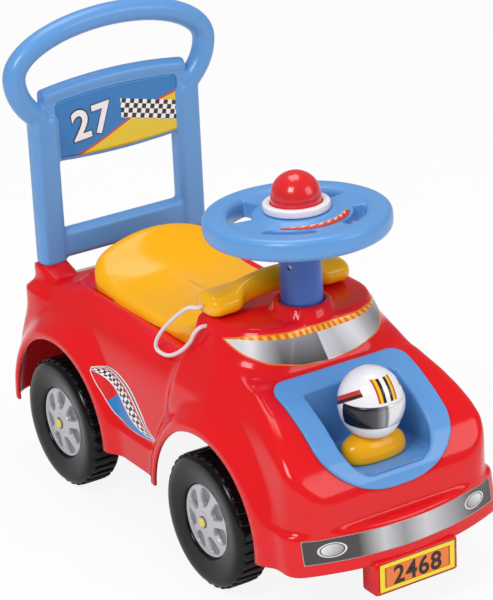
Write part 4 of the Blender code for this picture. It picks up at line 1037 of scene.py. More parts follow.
class WindscreenFoil(Finish):
    """Printed foil: silver and black sheen in two panes, in an orange frame."""

    def paint(self, tree: Tree) -> dict[str, object]:
        """Paint by the shares along and up the foil."""
        uv, _, up, edge = piece_map(tree)
        slant = add(tree, VECTOR, (uv, (1.0, 0.05, 0)), operation="DOT_PRODUCT")
        sheen = add(tree, "ShaderNodeValToRGB", (slant,), (
            (0.0, "#E9E6EA"), (0.16, "#D8D5DA"), (0.27, "#4B4749"), (0.36, "#2E2B2D"), (0.44, "#3A3739"),
            (0.499, "#1D1B1D"), (0.50, "#D9D7DC"), (0.60, "#B9B6BB"), (0.70, "#E6E4E8"), (0.86, "#6A676B"),
            (1.0, "#2B292C")))
        shine = add(tree, MATH, (up, 0.35), operation="MULTIPLY")
        glow = add(tree, MIX, (shine, sheen, "#F5F3F6"), data_type="RGBA")
        run = add(tree, VECTOR, (uv, (26.0, 2.0, 0)), operation="DOT_PRODUCT")
        dashes = add(tree, MATH, (run, 0.5), operation="PINGPONG")
        strip = print_layers(tree, "#F2661C", ((dashes, ABOVE, 0.25, "#FFC21E"),))
        rows = ((up, ABOVE, 0.80, strip), (edge, BELOW, 0.0016, "#F47A20"))
        return {"Base Color": print_layers(tree, glow, rows)}


class BumperFoil(Finish):
    """Printed foil: silver and dark sheen with two oval lamps."""

    def paint(self, tree: Tree) -> dict[str, object]:
        """Paint by the foil's map, in metres across and up."""
        _, x, z, edge = piece_map(tree)
        share = add(tree, "ShaderNodeMapRange", {"Value": x, "From Min": -0.105, "From Max": 0.105})
        sheen = add(tree, "ShaderNodeValToRGB", (share,), (
            (0.0, "#453C3C"), (1.0, "#3B3637"), (0.24, "#4A4242"), (0.36, "#CFCDD2"), (0.46, "#9A979C"),
            (0.58, "#D4D2D7"), (0.78, "#8D8A90"), (0.86, "#5B5759")))
        mirrored = add(tree, MATH, (x,), operation="ABSOLUTE")
        place = add(tree, "ShaderNodeCombineXYZ", (mirrored, z))
        local = add(tree, VECTOR, (place, (0.079, 0.082, 0)), operation="SUBTRACT")
        shaped = add(tree, VECTOR, (local, (0.0135, 0.0068, 1.0)), operation="DIVIDE")
        oval = add(tree, VECTOR, (shaped,), operation="LENGTH")
        slope = add(tree, VECTOR, (local, (1.0, 1.0, 0)), operation="DOT_PRODUCT")
        glass = add(tree, "ShaderNodeMapRange", {"Value": slope, "From Min": -0.014, "From Max": 0.014})
        lamp = add(tree, MIX, (glass, "#8A888D", "#F6F5F8"), data_type="RGBA")
        return {"Base Color": print_layers(tree, sheen, (
            (oval, BELOW, 1.0, "#E8E6EA"), (oval, BELOW, 0.86, "#4A474A"), (oval, BELOW, 0.76, lamp),
            (edge, BELOW, 0.0007, "#B9A9A2")))}


@dataclass(frozen=True)
class ChequeredSwoosh(Finish):
    """Printed film: bands of black and white chequers and lines, over a red and blue tail."""

    square_mm: float = 4.2

    def paint(self, tree: Tree) -> dict[str, object]:
        """Paint by the film's map, in metres along and across."""
        uv, along, across, edge = piece_map(tree)
        squares = add(tree, "ShaderNodeTexChecker", (uv, "#1D1B1E", "#F4F2F5", 1000 / self.square_mm))
        tail = print_layers(tree, "#DE1A20", ((along, ABOVE, 0.052, "#2C7FC8"),))
        # bands across the film, from its upper edge: line, gap, line, gap, chequers, line, tail
        return {"Base Color": print_layers(tree, squares, (
            (across, BELOW, -0.0058, "#DE1A20"), (across, BELOW, -0.0076, "#F2E9EC"),
            (across, BELOW, -0.0090, "#2A2226"), (across, BELOW, -0.0106, "#F2E9EC"),
            (across, ABOVE, 0.0018, "#F2E9EC"), (across, ABOVE, 0.0032, tail),
            (edge, BELOW, 0.0009, "#F2E9EC")))}


@dataclass(frozen=True)
class BackFilm(Finish):
    """Printed film on the backrest: blue over yellow with a red line, and a chequered flag band."""

    square_mm: float = 5.0

    def paint(self, tree: Tree) -> dict[str, object]:
        """Paint by the film's map, in metres across and up."""
        uv, x, _, _ = piece_map(tree)
        phase = add(tree, MATH, (x, 42.0), operation="MULTIPLY")
        wave = add(tree, MATH, (phase,), operation="SINE")
        slope = add(tree, VECTOR, (uv, (-0.335, 1.0, 0)), operation="DOT_PRODUCT")
        bent = add(tree, MATH, (wave, -0.0030, slope), operation="MULTIPLY_ADD")
        line = add(tree, MATH, (bent, 0.335 * 0.046), operation="SUBTRACT")
        gap = add(tree, MATH, (line,), operation="ABSOLUTE")
        turned = add(tree, "ShaderNodeMapping", {
            "Vector": uv, "Rotation": (0, 0, math.radians(14)), "Location": (0.0, 0.0, 0.0005)})
        squares = add(tree, "ShaderNodeTexChecker", (turned, "#17151A", "#F5F4F6", 1000 / self.square_mm))
        high = add(tree, "ShaderNodeSeparateXYZ", (turned,)).outputs[1]
        away = add(tree, MATH, (add(tree, MATH, (high, 0.0345), operation="SUBTRACT"),), operation="ABSOLUTE")
        rows = ((line, BELOW, 0.0, "#E5C81C"), (gap, BELOW, 0.0011, "#D2362A"))
        ground = print_layers(tree, "#2277BE", rows)
        band = print_layers(tree, ground, ((away, BELOW, 0.0100, squares),))
        return {"Base Color": print_layers(tree, ground, ((x, ABOVE, 0.004, band),))}


class PlateFilm(Finish):
    """Number plate print: orange field in a bright yellow frame with a thin dark edge."""

    def paint(self, tree: Tree) -> dict[str, object]:
        """Paint by the distance to the plate's edge."""
        edge = piece_map(tree)[3]
        return {"Base Color": print_layers(tree, "#4A1A12", (
            (edge, ABOVE, 0.0008, "#FDE100"), (edge, ABOVE, 0.0046, "#B4501E"),
            (edge, ABOVE, 0.0052, "#F37B21")))}


@dataclass
class Stickers:
    """Printed films on the body: windscreen, bumper, sides and number plate."""

    form: BodyForm
    lift: float = 0.00025
    screen_centre_y: float = -0.075
    screen_span: float = 80.0
    reach: float = 0.16

    def film(
        self, name: str, start: Array, way: Sequence, uv: Array, material: Material, flip: bool = True,
    ) -> None:
        """Lay a film on the body, with its thickness and the distance to its edge.

        Args:
            name: Piece name.
            start: Grid of places outside the body, rows by columns by three.
            way: Direction to the body, one for all or one for each place.
            uv: Grid of map numbers.
            material: Print on the film.
            flip: Turn the faces over.
        """
        rows, columns = start.shape[:2]
        ways = np.broadcast_to(way, start.shape).reshape(-1, 3)
        flat = self.form.hit(start.reshape(-1, 3), ways, self.reach)
        flat = flat + self.form.normal(flat) * self.lift
        points = flat.reshape(start.shape)
        border = np.concatenate([points[0], points[-1], points[:, 0], points[:, -1]])
        edge = np.array([np.linalg.norm(border - p, axis=1).min() for p in flat])
        faces = [f[::-1] if flip else f for f in grid_faces(rows, columns)]
        film = make_mesh(name, flat, faces, material, uv.reshape(-1, 2), edge=edge)
        settle(thicken(film, FILM, -1.0), "car")

    def windscreen(self) -> None:
        """Foil round the front of the cowl."""
        turns = np.linspace(-self.screen_span, self.screen_span, 161)
        turn, share = np.meshgrid(turns, np.linspace(0, 1, 33), indexing="ij")
        known = (0.0, 25.0, 37.0, 47.0, 63.0, 80.0)
        low = np.interp(np.abs(turn), known, (0.2045, 0.2075, 0.2120, 0.2145, 0.2220, 0.2325))
        high = np.interp(np.abs(turn), (0.0, 50.0, 65.0, 80.0), (0.2395, 0.2395, 0.2380, 0.2335))
        angle = np.radians(turn)
        out = np.stack([np.sin(angle), -np.cos(angle), np.zeros_like(angle)], axis=-1)
        start = np.array([0.0, self.screen_centre_y, 0.0]) + out * self.reach
        start[..., 2] = low + (high - low) * share
        uv = np.stack([turn / self.screen_span * 0.5 + 0.5, share], axis=-1)
        foil = WindscreenFoil("windscreen_foil", 0.28, 0.4, 0.15).build()
        self.film("windscreen_film", start, -out, uv, foil)

    def bumper_band(self) -> None:
        """Foil along the bumper."""
        x, z = np.meshgrid(np.linspace(-0.105, 0.105, 121), np.linspace(0.0705, 0.0930, 19), indexing="ij")
        start = np.stack([x, np.full_like(x, -0.30), z], axis=-1)
        self.film("bumper_film", start, (0.0, 1.0, 0.0), np.stack([x, z], axis=-1),
                  BumperFoil("bumper_foil", 0.30, 0.3, 0.2).build())

    def swoosh(self, side: Side, material: Material) -> None:
        """Curved film between the wheel arches."""
        upper = ((0.0995, 0.1475), (0.0800, 0.1510), (0.0630, 0.1505), (0.0450, 0.1445), (0.0310, 0.1350),
                 (0.0190, 0.1235), (0.0080, 0.1125), (-0.0060, 0.1060))
        lower = ((0.0985, 0.1440), (0.0900, 0.1360), (0.0800, 0.1270), (0.0710, 0.1175), (0.0620, 0.1085),
                 (0.0490, 0.1020), (0.0270, 0.1000), (-0.0040, 0.1030))
        t = np.linspace(0, 7, 99)
        over, under = (np.stack([curve_through(t, range(8), [p[i] for p in line]) for i in (0, 1)], axis=1)
                       for line in (upper, lower))
        share = np.linspace(0, 1, 31)
        plan = over[:, None, :] + (under - over)[:, None, :] * share[:, None]
        start = np.stack([np.full(plan.shape[:2], side.value * 0.2), plan[..., 0], plan[..., 1]], axis=-1)
        length = np.concatenate([[0], np.cumsum(np.linalg.norm(np.diff(over, axis=0), axis=1))])
        uv = np.stack(np.broadcast_arrays(length[:, None], 0.024 * (share - 0.5)), axis=-1)
        self.film(f"side_film_{side.name.lower()}", start, (-float(side.value), 0.0, 0.0), uv, material,
                  flip=side is Side.LEFT)

    def number_plate(self) -> None:
        """Plate print with a plain row of figures."""
        outline = outline_box(0.0425, 0.0325, 0.0620, 0.003, 0.003, 6)
        middle = np.array([0.0, 0.04725])
        shares = np.linspace(0, 1, 12)
        rings = [[(m[0], -0.2722, m[1]) for m in middle + (outline - middle) * max(s, 0.001)] for s in shares]
        points = np.array(rings)
        rows, columns = points.shape[:2]
        flat = points.reshape(-1, 3)
        away = np.minimum(0.0425 - np.abs(flat[:, 0]), 0.01475 - np.abs(flat[:, 2] - middle[1]))
        plate = make_mesh("plate_film", flat, grid_faces(rows, columns, ring=True),
                          PlateFilm("plate_film", 0.28, 0.3).build(), edge=away)
        settle(mend(thicken(plate, FILM)), "car")
        figures = print_text("plate_figures", "2468", 0.0175, BROWN_INK.build())
        place = Matrix.Translation((0, -0.27235, middle[1])) @ Matrix.Rotation(math.pi / 2, 4, "X")
        figures.data.transform(place)
        settle(figures, "car")

    def build(self) -> None:
        """Make every film on the body."""
        self.windscreen()
        self.bumper_band()
        swoosh = ChequeredSwoosh("chequered_swoosh_film", 0.30, 0.3).build()
        for side in Side:
            self.swoosh(side, swoosh)
        self.number_plate()


def print_text(name: str, text: str, height: float, material: Material) -> Object:
    """Plain printed figures as a thin mesh, centred on the origin.

    Args:
        name: Piece name.
        text: Figures to print.
        height: Height of a figure, in metres.
        material: Ink.

    Returns:
        The mesh object, in the XY plane.
    """
    curve = bpy.data.curves.new(name, "FONT")
    curve.body = text
    curve.size = height / 0.70
    curve.extrude = 0.00004
    curve.offset = height * 0.035
    curve.space_character = 1.1
    source = put(name + "_source", curve)
    bpy.context.view_layer.update()
    graph = bpy.context.evaluated_depsgraph_get()
    mesh = bpy.data.meshes.new_from_object(source.evaluated_get(graph))
    bpy.data.objects.remove(source)
    co = np.array([v.co for v in mesh.vertices])
    middle = (co.min(0) + co.max(0)) / 2
    mesh.transform(Matrix.Translation(-Vector(middle)))
    mesh.materials.clear()
    mesh.materials.append(material)
    mesh.name = name
    return put(name, mesh)


# Cockpit


@dataclass
class Cockpit:
    """Blue bonnet tray with its pocket, and the toy driver in it."""

    form: BodyForm
    blue: Material
    yellow: Material
    start: float = 0.003
    length: float = 0.1338
    half: float = 0.0735
    corner: float = 0.016
    nose_half: float = 0.066
    nose_length: float = 0.055
    proud: float = 0.0028
    fillet: float = 0.0030
    pocket_half: float = 0.0495
    pocket: tuple[float, float] = (-0.243, -0.168)
    pocket_floor: float = 0.1345
    driver_y: float = -0.205
    helmet_radius: float = 0.0305
    helmet_low: float = 0.1550
    helmet_top: float = 0.2215
    helmet_tuck: float = 0.78
    chin_z: float = 0.176
    chin_reach: float = 0.0022

    def bonnet_line(self) -> tuple[Array, Array, Array]:
        """Run along the bonnet from the windscreen, with y and z."""
        knots = [np.array(p) for p in reversed(self.form.bonnet)]
        knots[0] = knots[0] + (knots[1] - knots[0]) * 0.8
        line = np.array(knots)
        run = np.concatenate([[0], np.cumsum(np.linalg.norm(np.diff(line, axis=0), axis=1))])
        return run, line[:, 0], line[:, 1]

    def width(self, run: Array) -> Array:
        """Half width of the tray at a run along the bonnet."""
        start = np.clip(1 - (run - self.start) / self.corner, 0, 1)
        end = np.clip(1 - (self.start + self.length - run) / self.nose_length, 0, 1)
        width = self.half - self.corner * (1 - np.sqrt(1 - start ** 2))
        return width - self.nose_half * (1 - np.sqrt(1 - end ** 2))

    def tray(self) -> Object:
        """Make the tray: rings from its outer edge, over the rim and down into the pocket."""
        run, ys, zs = self.bonnet_line()
        middle_run = float(np.interp(-self.driver_y, -ys, run))
        edge_runs = self.start + self.length * (0.5 - 0.5 * np.cos(np.linspace(0, math.pi, 240)))
        widths = self.width(edge_runs)
        outline = np.concatenate([
            np.stack([widths, edge_runs], axis=1), np.stack([-widths[::-1], edge_runs[::-1]], axis=1),
        ])
        spokes = 200
        angles = np.linspace(0, 2 * math.pi, spokes, endpoint=False)
        centre = np.array([0.0, middle_run])
        outer = radial(outline - centre, angles) + centre
        plan = outline_box(self.pocket_half, *self.pocket, 0.024, 0.006, 16)
        plan_centre = np.array([0.0, self.driver_y])
        # the plan's y runs against the run along the bonnet
        inner_plan = radial((plan - plan_centre) * (1, -1), angles) * (1, -1) + plan_centre
        inner = np.stack([inner_plan[:, 0], np.interp(-inner_plan[:, 1], -ys, run)], axis=1)

        def surface(points: Array, lift: float) -> Array:
            """Points on the body, a little above it."""
            across, along = points.T
            place = np.stack([across, np.interp(along, run, ys), np.interp(along, run, zs)], axis=1)
            return self.form.raise_to(place, lift)

        near_edge = centre + (outer - centre) * 0.978
        rings = [surface(outer, 0.0001), surface(outer, self.proud * 0.55),
                 surface(centre + (outer - centre) * 0.992, self.proud * 0.93),
                 surface(near_edge, self.proud)]
        rim = inner + (inner - centre) / np.linalg.norm(inner - centre, axis=1, keepdims=True) * self.fillet
        rings += [surface(near_edge + (rim - near_edge) * t, self.proud) for t in np.linspace(0, 1, 16)[1:]]
        rings += [surface(rim + (inner - rim) * t, self.proud - 0.0012 * t ** 2) for t in (0.35, 0.7)]
        depth = surface(inner, self.proud)[:, 2] - 0.0028
        floor = self.pocket_floor
        inwards = plan_centre - inner_plan
        inwards = inwards / np.linalg.norm(inwards, axis=1, keepdims=True)
        for share in np.linspace(0, 1, 14):
            rings.append(np.column_stack([inner_plan, depth + (floor + 0.004 - depth) * share]))
        for turn in (0.3, 0.6, 0.85, 1.0):
            angle = turn * math.pi / 2
            rings.append(np.column_stack([inner_plan + inwards * 0.004 * (1 - math.cos(angle)),
                                          np.full(spokes, floor + 0.004 * (1 - math.sin(angle)))]))
        last = rings[-1]
        for share in (0.7, 0.4, 0.1):
            rings.append(np.column_stack([plan_centre + (last[:, :2] - plan_centre) * share, last[:, 2]]))
        array = np.array(rings)
        rows = len(array)
        faces: list[Sequence[int]] = grid_faces(rows, spokes, ring=True)
        faces.append(tuple(range((rows - 1) * spokes, rows * spokes)))
        tray = mend(make_mesh("bonnet_tray_moulding", array.reshape(-1, 3), faces, self.blue))
        return thicken(tray, 0.0012, -1.0)

    def shoulders(self) -> Object:
        """Rounded shoulders of the driver with the neck."""
        base, top = self.pocket_floor + 0.0003, 0.1590
        shares = ((0.0, 0.86), (0.04, 0.93), (0.12, 0.98), (0.25, 1.0), (0.42, 1.0), (0.58, 0.97),
                  (0.72, 0.90), (0.84, 0.78), (0.93, 0.62), (1.0, 0.42))
        rings = []
        for share, size in shares:
            lean = self.driver_y - 0.004 * (1 - share)
            rings.append([(0.033 * size * c, lean + 0.0160 * size * s, base + share * (top - base))
                          for c, s in unit_ring(64, 0.8, 0.9)])
        neck = [[(0.008 * c, self.driver_y + 0.008 * s, z) for c, s in unit_ring(64)]
                for z in (0.1592, 0.1630)]
        return loft("driver_shoulders_moulding", rings + neck, self.yellow)

    def helmet_size(self) -> tuple[float, float]:
        """Height of the helmet's middle, and its half height."""
        return 0.5 * (self.helmet_low + self.helmet_top), 0.5 * (self.helmet_top - self.helmet_low)

    def helmet_girth(self, angle: float) -> float:
        """Radius of the helmet at an angle of height, drawn in below its middle."""
        return self.helmet_radius * math.cos(angle) ** (self.helmet_tuck if angle < 0 else 1.0)

    def chin(self, z: float) -> float:
        """How far the chin bar stands out at a height."""
        return self.chin_reach * max(0.0, min(1.0, (self.chin_z - z) / 0.016))

    def helmet(self, material: Material) -> Object:
        """Open helmet with a rolled lower edge, as a thick shell."""
        middle, half = self.helmet_size()
        angles = [math.radians(-62 + 152 * k / 40) for k in range(41)]
        outer = [(self.helmet_girth(angle), middle + half * math.sin(angle)) for angle in angles]
        outer[-1] = (0.0001, self.helmet_top)
        start = outer[0]
        profile = [(0.0083, 0.1633), (0.0083, start[1] + 0.001), (start[0] - 0.002, start[1]), *outer]
        place = Matrix.Translation((0, self.driver_y, 0))
        helmet = revolve("driver_helmet_moulding", profile, material, place)
        for vert in helmet.data.vertices:
            ahead = self.driver_y - vert.co.y
            if ahead > 0:
                vert.co.y -= self.chin(vert.co.z) * min(1.0, ahead / 0.02)
        return helmet

    def visor(self) -> Object:
        """Mirror visor wrapped round the front of the helmet, with its reflection painted into its colour."""
        middle, half = self.helmet_size()

        def place(along: float, up: float) -> tuple[float, float, float]:
            """Point of the visor for its shares along and up."""
            rise = 0.0022 * abs(2 * along - 1) ** 3
            z = 0.1728 + rise + (0.0222 - rise) * up
            azimuth = math.radians(-178 + 176 * along)
            bulge = 0.0009 * max(0.0, math.sin(math.pi * up)) ** 0.5
            chin = self.chin(z) * max(0.0, -math.sin(azimuth))
            radius = self.helmet_girth(math.asin((z - middle) / half)) + 0.0002 + bulge + chin
            return radius * math.cos(azimuth), self.driver_y + radius * math.sin(azimuth), z

        # the foil's colour holds a painted reflection
        foil = VisorPaintedReflection("visor_foil_painted_reflection", 0.18, 0.5, 0.3).build()
        return thicken(sheet("driver_visor_foil", 15, 61, place, foil), 0.0004)

    def build(self) -> None:
        """Make tray and driver."""
        settle(self.tray(), "car", ["bonnet_tray"])
        settle(self.shoulders(), "car", ["driver_shoulders"])
        white = HelmetPrint("printed_white_helmet", 0.22, 0.3, driver_y=self.driver_y).build()
        settle(self.helmet(white), "car", ["driver_helmet"])
        settle(self.visor(), "car", ["driver_visor"])


def radial(outline: Array, angles: Array) -> Array:
    """Points where rays from the origin leave a closed outline.

    Args:
        outline: Closed polygon round the origin, in its order.
        angles: Directions of the rays.

    Returns:
        One point for each direction.
    """
    after = np.roll(outline, -1, axis=0)
    result = []
    for angle in angles:
        way = np.array([math.cos(angle), math.sin(angle)])
        edge = after - outline
        cross = way[0] * edge[:, 1] - way[1] * edge[:, 0]
        safe = np.where(np.abs(cross) < 1e-15, 1e-15, cross)
        reach = (outline[:, 0] * edge[:, 1] - outline[:, 1] * edge[:, 0]) / safe
        share = (outline[:, 0] * way[1] - outline[:, 1] * way[0]) / safe
        good = (reach > 0) & (share >= -1e-9) & (share <= 1 + 1e-9) & (np.abs(cross) > 1e-15)
        result.append(way * reach[good].max())
    return np.array(result)


class VisorPaintedReflection(Finish):
    """Mirror foil with a painted reflection: dark on one side, bright on the other."""

    def paint(self, tree: Tree) -> dict[str, object]:
        """Paint the reflection by the share round the visor."""
        along = piece_map(tree)[1]
        # painted reflection: dark on the one side, bright on the other
        return {"Base Color": add(tree, "ShaderNodeValToRGB", (along,), (
            (0.0, "#101018"), (1.0, "#A9A7AB"), (0.26, "#1B1A20"), (0.36, "#464448"), (0.43, "#97959A"),
            (0.465, "#6E6C70"), (0.49, "#E9E8EB"), (0.78, "#F4F3F5")))}


@dataclass(frozen=True)
class HelmetPrint(Finish):
    """White helmet with a printed band over the crown and a stripe low on each side."""

    driver_y: float = 0.0
    white: str = "#F4F2F7"

    def paint(self, tree: Tree) -> dict[str, object]:
        """Paint by places on the helmet, in metres."""
        place = add(tree, "ShaderNodeTexCoord").outputs["Object"]
        x, y, z = add(tree, "ShaderNodeSeparateXYZ", (place,)).outputs
        across = add(tree, MATH, (x,), operation="ABSOLUTE")
        crown = print_layers(tree, self.white, (
            (across, BELOW, 0.0098, "#D0402A"), (across, BELOW, 0.0080, "#F6C423"),
            (across, BELOW, 0.0052, "#231A1C"), (across, BELOW, 0.0022, self.white)))
        ground = print_layers(tree, self.white, (
            (z, ABOVE, 0.1975, crown), (z, ABOVE, 0.2165, self.white),
            (y, ABOVE, self.driver_y - 0.004, self.white)))
        slope = add(tree, VECTOR, (place, (0, 0.55, 1.0)), operation="DOT_PRODUCT")
        sides = ground
        for height, half, colour in ((0.1985, 0.0042, "#C9362B"), (0.1965, 0.0016, "#2A2226")):
            gap = add(tree, MATH, (slope, height + 0.55 * self.driver_y), operation="SUBTRACT")
            away = add(tree, MATH, (gap,), operation="ABSOLUTE")
            sides = print_layers(tree, sides, ((away, BELOW, half, colour),))
        return {"Base Color": print_layers(tree, ground, ((across, ABOVE, 0.020, sides),))}


# Steering


class FlamePrint(Finish):
    """Printed film: red and orange tongues on a pale ground."""

    def paint(self, tree: Tree) -> dict[str, object]:
        """Paint by the shares along and across the film."""
        uv, _, across, _ = piece_map(tree)
        run = add(tree, VECTOR, (uv, (9.0, 1.2, 0)), operation="DOT_PRODUCT")
        teeth = add(tree, MATH, (run, 0.5), operation="PINGPONG")
        rise = add(tree, MATH, (teeth, 1.1, 0.15), operation="MULTIPLY_ADD")
        inner = add(tree, MATH, (across, 0.22), operation="ADD")
        rows = ((across, BELOW, rise, "#F0662A"), (inner, BELOW, rise, "#F9C9A0"))
        return {"Base Color": print_layers(tree, "#C62A1E", rows)}


@dataclass
class Steering:
    """Steering wheel, horn and column, on the tilted steering axis."""

    blue: Material
    column_blue: Material
    white: Material
    red: Material
    foot_y: float = -0.107
    top_y: float = -0.096
    wheel_z: float = 0.3305
    rim_outer: float = 0.088
    tube_x: float = 0.0125
    tube_z: float = 0.0110
    hub_radius: float = 0.0365
    hub_height: float = 0.022
    spoke_thick: float = 0.0185
    screw_azimuth: float = -154.0
    screw_height: float = 0.2248
    voxel: float = 0.0011

    @classmethod
    def axis_y(cls, z: Array) -> Array:
        """Where the steering axis is at a height."""
        return cls.foot_y + (z - WHEEL_CENTRE_Z) * ((cls.top_y - cls.foot_y) / (cls.wheel_z - WHEEL_CENTRE_Z))

    def frame(self) -> Matrix:
        """Matrix whose Z runs up the steering axis from the axle's height."""
        tilt = math.atan2(self.top_y - self.foot_y, self.wheel_z - WHEEL_CENTRE_Z)
        return Matrix.Translation((0, self.foot_y, WHEEL_CENTRE_Z)) @ Matrix.Rotation(-tilt, 4, "X")

    def middle(self) -> float:
        """Height of the rim's middle along the axis."""
        return self.wheel_z - WHEEL_CENTRE_Z

    def window(self, first: float, last: float, inner: float, outer: float, frame_: Matrix) -> Object:
        """Tool that cuts one window of the wheel."""
        steps, round_ = 14, 0.004
        arcs = []
        for radius, start, end in ((outer, first, last), (inner, last, first)):
            pad = math.degrees(round_ / radius) * (1 if end > start else -1)
            for k in range(steps + 1):
                angle = math.radians(start + pad + (end - start - 2 * pad) * k / steps)
                arcs.append((radius * math.cos(angle), radius * math.sin(angle)))
        low, high = self.middle() - 0.02, self.middle() + 0.02
        rings = [[tuple(frame_ @ Vector((x, y, z))) for x, y in arcs] for z in (low, high)]
        return loft("window", rings, self.blue)

    def wheel(self) -> Object:
        """Thick-rimmed wheel with four spokes and a pocket for the horn."""
        frame_ = self.frame()
        middle = self.rim_outer - self.tube_x
        rise = self.middle()
        section = [(middle + self.tube_x * c, rise + self.tube_z * s) for c, s in unit_ring(28, 0.62)]
        rim = revolve("rim", section, self.blue, frame_, 120, loop=True)
        low, top = rise - self.hub_height / 2, rise + self.hub_height / 2
        web_low, web_top = rise - self.spoke_thick / 2 + 0.001, rise + self.spoke_thick / 2 - 0.001
        profile = [
            (0.0001, low), (self.hub_radius - 0.002, low), (self.hub_radius + 0.002, web_low),
            (middle, web_low), (middle, web_top), (self.hub_radius + 0.004, web_top),
            (self.hub_radius, top), (0.0001, top),
        ]
        plate = cap_ends(revolve("plate", profile, self.blue, frame_))
        for first, last, inner, outer in ((10, 76, 0.042, 0.0665), (104, 170, 0.042, 0.0665),
                                          (200, 258, 0.0520, 0.0665), (282, 340, 0.0520, 0.0665)):
            subtract(plate, self.window(first, last, inner, outer, frame_))
        pocket = [(0.0001, top - 0.009), (0.0276, top - 0.009), (0.0276, top + 0.01), (0.0001, top + 0.01)]
        subtract(plate, cap_ends(revolve("pocket", pocket, self.blue, frame_, 64)))
        return fuse("steering_wheel_moulding", [rim, plate], self.voxel, 5)

    def column(self) -> Object:
        """Column between the body's boss and the wheel, with its screw hole."""
        top = self.middle() - self.hub_height / 2 - 0.0003
        profile = [(0.0172, 0.160), (0.0194, 0.160), (0.020, 0.1606), (0.020, top - 0.0006), (0.0194, top),
                   (0.0055, top), (0.0055, top - 0.005), (0.0172, top - 0.006)]
        # the column's darker blue is painted shade on the same blue moulding
        column = revolve("column_moulding", profile, self.column_blue, self.frame(), 96, loop=True)
        turn = math.radians(self.screw_azimuth)
        way = Vector((math.cos(turn), math.sin(turn), 0))
        place = (self.frame() @ Matrix.Translation(way * 0.021 + Vector((0, 0, self.screw_height)))
                 @ way.to_track_quat("Z", "Y").to_matrix().to_4x4())
        tool = revolve("screw_hole", [(0.0001, -0.006), (0.0025, -0.006), (0.0025, 0.006), (0.0001, 0.006)],
                       self.column_blue, place, 32)
        subtract(column, cap_ends(tool))
        column.data.set_sharp_from_angle(angle=math.radians(40))
        return column

    def horn(self) -> None:
        """Collar and dome on the hub."""
        frame_ = self.frame()
        top = self.middle() + self.hub_height / 2
        base = top + 0.0003
        collar = rounded([(0.0240, base), (0.0315, base), (0.0315, base + 0.008), (0.0240, base + 0.008),
                          (0.0240, base)], 0.0028, 6)
        settle(revolve("horn_collar_moulding", collar[:-1], self.white, frame_, 96, loop=True),
               "steering", ["horn_collar"])
        radius, centre = 0.0235, base + 0.008 + 0.005
        quarter = math.pi / 2
        outer = [(radius * math.cos(a), centre + radius * math.sin(a)) for a in np.linspace(0, quarter, 28)]
        outer[-1] = (0.0001, centre + radius)
        # a shallow groove shows where the dome meets its straight skirt
        skirt = [(0.0269, top - 0.0023), (0.0269, top - 0.0005), (radius, top - 0.0004),
                 (radius, centre - 0.0012), (radius - 0.0005, centre - 0.0008),
                 (radius - 0.0005, centre - 0.0003)]
        inner = [(0.0215 * math.cos(a), centre + 0.0215 * math.sin(a)) for a in np.linspace(quarter, 0, 12)]
        inner[0] = (0.0001, centre + 0.0215)
        dome = revolve("horn_dome_moulding", [(0.0215, top - 0.0023), *skirt, *outer], self.red, frame_, 96)
        inside = revolve("horn_inside", [*inner, (0.0215, top - 0.0023)], self.red, frame_, 96)
        settle(join_parts("horn_dome_skin", [dome, inside]), "horn", ["horn_dome"])

    def flames(self) -> Object:
        """Film on the front web of the wheel."""
        frame_ = self.frame()
        height = self.middle() + self.spoke_thick / 2 - 0.0007

        def place(along: float, share: float) -> Vector:
            """Point of the film for its shares along and across."""
            angle = math.radians(-142 + 104 * along)
            pinch = math.sin(math.pi * (0.06 + 0.88 * along)) ** 0.5
            radius = 0.0462 + 0.0050 * (2 * share - 1) * pinch
            return frame_ @ Vector((radius * math.cos(angle), radius * math.sin(angle), height))

        film = sheet("steering_film", 11, 49, place, FlamePrint("flame_print_film").build())
        return mend(thicken(film, 2 * FILM))

    def build(self) -> None:
        """Make everything above the body."""
        settle(self.wheel(), "steering", ["steering_wheel"])
        settle(self.column(), "steering", ["steering_column"])
        settle(self.flames(), "steering")
        self.horn()


# Wheels


class CoverPaintedShade(Finish):
    """Pearl grey polystyrene wheel cover, with painted shade that darkens the sunk petals."""

    def paint(self, tree: Tree) -> dict[str, object]:
        """Paint shade by how deep the petals are sunk."""
        depth = add(tree, "ShaderNodeAttribute", attribute_name="petal").outputs["Fac"]
        # painted shade: darker grey where the petals sink deepest
        return {"Base Color": add(tree, MIX, (depth, "#C6C4CB", "#8A8890"), data_type="RGBA")}


@dataclass(frozen=True)
class AxleCapFinish(Finish):
    """Pale yellow push-on cap in a dark grey sleeve."""

    axle: Axle = Axle.FRONT
    button: float = 0.0047

    def paint(self, tree: Tree) -> dict[str, object]:
        """Paint by the distance to the axle."""
        place = add(tree, "ShaderNodeTexCoord").outputs["Object"]
        flat = add(tree, VECTOR, (place, (0, 1.0, 1.0)), operation="MULTIPLY")
        away = add(tree, VECTOR, (flat, (0, self.axle.value, WHEEL_CENTRE_Z)), operation="DISTANCE")
        return {"Base Color": print_layers(tree, "#7F7C84", ((away, BELOW, self.button, "#E8DA3C"),))}


